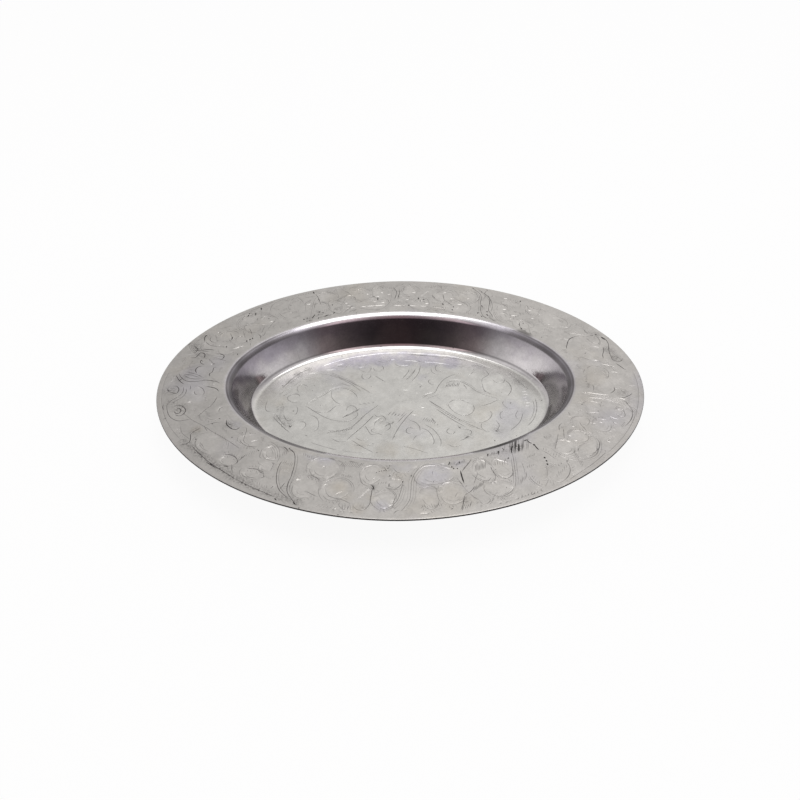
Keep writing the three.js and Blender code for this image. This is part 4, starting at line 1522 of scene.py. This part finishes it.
def silvered_sheet():
    """Satin silvery metal with clouded patina, dirt in the cuts, a polished wall, and painted shade on the
    edge, wall, shoulder and far floor.
    """
    material = bpy.data.materials.new("silvered_sheet")
    material.use_nodes = True
    metal = Nodes(material.node_tree)
    shader = material.node_tree.nodes["Principled BSDF"]
    petal = metal.mark("petal")
    groove = metal.mark("groove")
    # Dirt in the cuts with their shade, and painted shade on the edge's side and in the wall's foot near the
    # ends.
    grime = metal.mark("grime")
    smudge = metal.mark("smudge")
    bloom_and_shade = metal.mark("bloom_and_shade")
    polish = metal.mark("polish")
    scored_here = metal.mark("scored")
    back = metal.mark("back")
    axes = metal.add("ShaderNodeSeparateXYZ", {0: metal.place()}).outputs

    rubbed_rim = (0.462, 0.446, 0.427, 1)
    clean_floor = (0.562, 0.554, 0.533, 1)
    clean_wall = (0.560, 0.545, 0.535, 1)
    dull_wall_shade = (0.370, 0.345, 0.375, 1)
    worn_bend = (0.620, 0.600, 0.615, 1)
    lilac_bend_shade = (0.430, 0.412, 0.450, 1)
    tan = (0.43, 0.39, 0.33, 1)
    lilac = (0.43, 0.42, 0.47, 1)
    cut_shade = (0.13, 0.12, 0.115, 1)
    black = (0.020, 0.017, 0.015, 1)

    clouds = metal.cloud(85, 5, 0.62)
    flecks = metal.cloud(420, 4, 0.62)
    grain = metal.cloud(2400, 2, 0.5)
    on_rim_height = metal.spread(axes[2], 0.003, 0.009)
    color = metal.blend(on_rim_height, clean_floor, rubbed_rim)
    # Painted shade: the upper wall is a darker lilac than its foot, partly lilac tarnish, and less dark
    # towards the right end.
    wall_height = metal.sum(axes[2], metal.spread(metal.cloud(75, 4, 0.6), 0.3, 0.7, -0.0035, 0.0035))
    dulled_and_shaded = metal.times(metal.soft_step(wall_height, 0.003, 0.0105),
                         metal.spread(axes[0], 0.03, 0.055, 1, 0.5))
    wall = metal.blend(dulled_and_shaded, clean_wall, dull_wall_shade)
    # Painted shade: the shoulder's bend is a darker lilac at the ends than at the back, partly lilac tarnish.
    from_middle = metal.add("ShaderNodeMath", {0: axes[0]}, operation="ABSOLUTE").outputs[0]
    at_end = metal.times(metal.soft_step(from_middle, 0.026, 0.046), metal.spread(axes[1], -0.032, -0.018))
    shoulder = metal.blend(at_end, worn_bend, lilac_bend_shade)
    on_shoulder = metal.spread(axes[2], 0.0110, 0.0118)
    wall = metal.blend(on_shoulder, wall, shoulder)
    color = metal.blend(polish, color, wall)
    color = metal.blend(metal.spread(metal.cloud(48, 3, 0.55), 0.56, 0.74, 0, 0.32), color, tan)
    color = metal.blend(metal.spread(metal.cloud(36, 2, 0.5), 0.60, 0.72, 0, 0.40), color, lilac)
    patchy = metal.spread(metal.cloud(260, 4, 0.6), 0.35, 0.6, 0.4, 1.0)
    # Lilac and tan patina patches; the strong lilac band along the far floor is painted shade.
    color = metal.blend(metal.times(metal.spread(bloom_and_shade, 0, 1, 0, 0.75), patchy), color, lilac)
    color = metal.blend(metal.times(metal.spread(bloom_and_shade, -1, 0, 0.6, 0), patchy), color, tan)
    tarnish = metal.times(metal.spread(clouds, 0.28, 0.72, 0.88, 1.06),
                          metal.spread(flecks, 0.3, 0.7, 0.93, 1.06))
    tarnish = metal.times(tarnish, metal.spread(metal.cloud(1250, 3, 0.65), 0.3, 0.7, 0.94, 1.06))
    tarnish = metal.times(tarnish, metal.spread(petal, 0, 1, 0.97, 1.04))
    left_end = metal.spread(axes[0], -0.085, -0.045, 0.955, 1.0)
    color = metal.dimmed(color, metal.times(tarnish, left_end))

    long_scratch = metal.spread(metal.cloud(1, 2, 0.5, metal.stretched(28, (40, 1900, 40))), 0.66, 0.72)
    cross_scratch = metal.spread(metal.cloud(1, 2, 0.5, metal.stretched(-54, (30, 1500, 30))), 0.67, 0.73)
    scratch = metal.larger(long_scratch, cross_scratch)
    shaded_cut = metal.times(metal.spread(groove, 0.05, 0.7, 0, 0.6), metal.spread(grime, 0, 0.08))
    color = metal.blend(shaded_cut, color, cut_shade)
    color = metal.blend(metal.times(scratch, 0.12), color, cut_shade)

    pits = metal.add("ShaderNodeTexVoronoi", {"Vector": metal.place(), "Scale": 520.0})
    pit_size = metal.spread(pits.outputs["Distance"], 0.10, 0.16, 1, 0)
    chosen = metal.add("ShaderNodeSeparateColor", {0: pits.outputs["Color"]}).outputs[0]
    pit = metal.times(pit_size, metal.spread(chosen, 0.945, 0.95))
    broken = metal.spread(metal.cloud(1500, 4, 0.7), 0.42, 0.62)
    old_dirt = metal.times(metal.times(smudge, broken), 0.85)
    # Dirt, pits and scores, with the painted shade on the edge's side and in the wall's foot.
    dark_cuts_and_shade = metal.times(grime, metal.soft_step(groove, 0.05, 0.5))
    streaks = metal.spread(metal.cloud(1, 3, 0.6, metal.stretched(-10, (2600, 40, 40))), 0.53, 0.555)
    stain_and_shade = metal.larger(dark_cuts_and_shade, metal.larger(old_dirt, metal.times(pit, 0.8)))
    stain_and_shade = metal.larger(stain_and_shade, metal.times(metal.times(scored_here, streaks), 0.95))
    color = metal.blend(stain_and_shade, color, black)

    rough = metal.sum(metal.spread(on_rim_height, 0, 1, 0.25, 0.30), metal.times(polish, -0.17))
    rough = metal.sum(rough, metal.spread(clouds, 0.25, 0.75, 0.05, -0.04))
    rough = metal.sum(rough, metal.spread(back, 0, 1, 0, 0.08))
    rough = metal.sum(rough, metal.times(stain_and_shade, 0.3))
    rough = metal.sum(rough, metal.times(metal.times(at_end, on_shoulder), metal.times(polish, 0.22)))

    height = metal.sum(metal.times(clouds, 0.6), metal.times(flecks, 0.12))
    height = metal.sum(height, metal.times(grain, 0.015))
    height = metal.sum(height, metal.times(scratch, -0.02))
    bump = metal.add("ShaderNodeBump", {"Strength": 0.6, "Distance": 0.00010, "Height": height})
    metal.set(shader.inputs["Base Color"], color)
    metal.set(shader.inputs["Roughness"], rough)
    metal.set(shader.inputs["Metallic"], metal.spread(stain_and_shade, 0.2, 1.0, 1.0, 0.3))
    metal.set(shader.inputs["Normal"], bump.outputs["Normal"])
    return material


def pale_floor():
    """White paper floor that keeps the dish's shadow."""
    material = bpy.data.materials.new("pale_floor")
    material.use_nodes = True
    paper = Nodes(material.node_tree)
    material.node_tree.nodes.remove(material.node_tree.nodes["Principled BSDF"])
    path = paper.add("ShaderNodeLightPath")
    seen = paper.sum(path.outputs["Is Camera Ray"], path.outputs["Is Glossy Ray"])
    seen = paper.sum(seen, path.outputs["Is Transmission Ray"])
    paint = paper.add("ShaderNodeBsdfDiffuse", {"Color": (0.9, 0.9, 0.9, 1)})
    glow = paper.add("ShaderNodeEmission", {"Color": (1, 1, 1, 1), "Strength": 1.0})
    mixed = paper.add("ShaderNodeMixShader", {0: paper.times(seen, 0.93), 1: paint.outputs[0],
                                              2: glow.outputs[0]})
    paper.set(material.node_tree.nodes["Material Output"].inputs["Surface"], mixed.outputs[0])
    return material


# Studio

PHOTO_PIXELS = 800
FOCAL_PIXELS = 700
VIEW_DISTANCE = 248.23
VIEW_ELEVATION = math.radians(40.63)
VIEW_AZIMUTH = math.radians(0.76)
VIEW_ROLL = math.radians(-0.85)
VIEW_ASIDE = 0.05
VIEW_LIFT = -8.27


def photo_camera():
    """The camera at the photograph's place, measured from the middle of the rim's plane."""
    back = Vector((math.sin(VIEW_AZIMUTH) * math.cos(VIEW_ELEVATION),
                   -math.cos(VIEW_AZIMUTH) * math.cos(VIEW_ELEVATION), math.sin(VIEW_ELEVATION)))
    right = Vector((math.cos(VIEW_AZIMUTH), math.sin(VIEW_AZIMUTH), 0))
    up = back.cross(right)
    place = Vector((0, 0, RIM_TOP)) + back * VIEW_DISTANCE + right * VIEW_ASIDE + up * VIEW_LIFT
    rolled_right = right * math.cos(VIEW_ROLL) + up * math.sin(VIEW_ROLL)
    rolled_up = up * math.cos(VIEW_ROLL) - right * math.sin(VIEW_ROLL)
    data = bpy.data.cameras.new("photo_camera")
    data.sensor_width = 36
    data.lens = FOCAL_PIXELS / PHOTO_PIXELS * data.sensor_width
    data.clip_start = 0.01
    data.clip_end = 50
    camera = bpy.data.objects.new("photo_camera", data)
    bpy.context.scene.collection.objects.link(camera)
    turn = Matrix((rolled_right, rolled_up, back)).transposed().to_4x4()
    camera.matrix_world = Matrix.Translation(place * MM) @ turn
    bpy.context.scene.camera = camera


def floor_sheet():
    bm = bmesh.new()
    bmesh.ops.create_grid(bm, x_segments=1, y_segments=1, size=4)
    mesh = bpy.data.meshes.new("paper_floor")
    bm.to_mesh(mesh)
    bm.free()
    mesh.materials.append(pale_floor())
    floor = bpy.data.objects.new("paper_floor", mesh)
    bpy.context.scene.collection.objects.link(floor)


def soft_box():
    """A wide soft light above and a little behind."""
    data = bpy.data.lights.new("soft_box", "AREA")
    data.shape = "RECTANGLE"
    data.size = 0.36
    data.size_y = 0.46
    data.energy = 1.07
    lamp = bpy.data.objects.new("soft_box", data)
    lamp.location = (0.08, 0.09, 0.745)
    lamp.rotation_euler.x = -0.12
    lamp.visible_camera = False
    bpy.context.scene.collection.objects.link(lamp)


def studio_room():
    """Grey room light: even overhead and behind the dish, falling to dark in front of it."""
    world = bpy.data.worlds.new("studio_room")
    bpy.context.scene.world = world
    world.use_nodes = True
    room = Nodes(world.node_tree)
    toward = room.add("ShaderNodeTexCoord").outputs["Generated"]
    axes = room.add("ShaderNodeSeparateXYZ", {0: toward}).outputs
    level = room.add("ShaderNodeVectorMath", {0: toward, 1: (1, 1, 0)}, operation="MULTIPLY").outputs[0]
    level = room.add("ShaderNodeVectorMath", {0: level}, operation="NORMALIZE").outputs[0]
    front = room.add("ShaderNodeVectorMath", {0: level, 1: (0, -1, 0)},
                     operation="DOT_PRODUCT").outputs["Value"]

    around = room.add("ShaderNodeValToRGB", {0: room.spread(front, -1, 1)})
    stops = around.color_ramp.elements
    stops[0].color = (0.86, 0.85, 0.84, 1)
    stops[1].color = (0.040, 0.027, 0.029, 1)
    from_side_to_front = ((116, 0.62), (95, 0.96), (75, 1.06), (60, 0.94), (48, 0.74), (36, 0.30), (26, 0.10),
                          (12, 0.036))
    for angle, shade in from_side_to_front:
        stop = stops.new((1 + math.cos(math.radians(angle))) / 2)
        warmth = 0.82 if shade < 0.35 else 0.97
        stop.color = (shade, warmth * shade, (0.03 + warmth) * shade, 1)
    behind = room.spread(axes[2], 0.05, 0.50, 0.85, 1.0)
    beside = room.sum(room.spread(axes[2], 0.10, 0.38, 1.0, 0.45), room.spread(axes[2], 0.55, 0.85, 0.0, 0.5))
    height_light = room.add("ShaderNodeMix", {0: room.soft_step(front, -0.5, -0.1),
                                              2: behind, 3: beside}).outputs[0]
    in_front = room.soft_step(front, 0.75, 0.95)
    high_in_front = room.spread(axes[2], 0.50, 0.66, 1.0, 9.0)
    height_light = room.add("ShaderNodeMix", {0: in_front, 2: height_light, 3: high_in_front}).outputs[0]
    walls = room.dimmed(around.outputs[0], height_light)
    overhead = (1.0, 0.98, 0.99, 1)
    sky = room.blend(room.soft_step(axes[2], 0.86, 0.97), walls, overhead)
    left_to_right = room.add("ShaderNodeValToRGB", {0: room.spread(axes[0], -1, 1)})
    steps = left_to_right.color_ramp.elements
    steps[0].color = (1.36, 1.36, 1.36, 1)
    steps[1].color = (0.98, 0.98, 0.98, 1)
    for x, shade in ((-0.62, 1.2), (-0.32, 0.98), (0.28, 1.33), (0.6, 1.16)):
        step = steps.new((1 + x) / 2)
        step.color = (shade, shade, shade, 1)
    both = {"Factor": 1.0, 6: sky, 7: left_to_right.outputs[0]}
    lit = room.add("ShaderNodeMix", both, data_type="RGBA", blend_type="MULTIPLY")
    background = world.node_tree.nodes["Background"]
    room.set(background.inputs["Color"], lit.outputs[2])


photo_camera()
floor_sheet()
soft_box()
studio_room()
bpy.context.scene.view_settings.view_transform = "Standard"

dish = engraved_dish()
dish.data.materials.append(silvered_sheet())
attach(dish, "root")
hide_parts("dish")
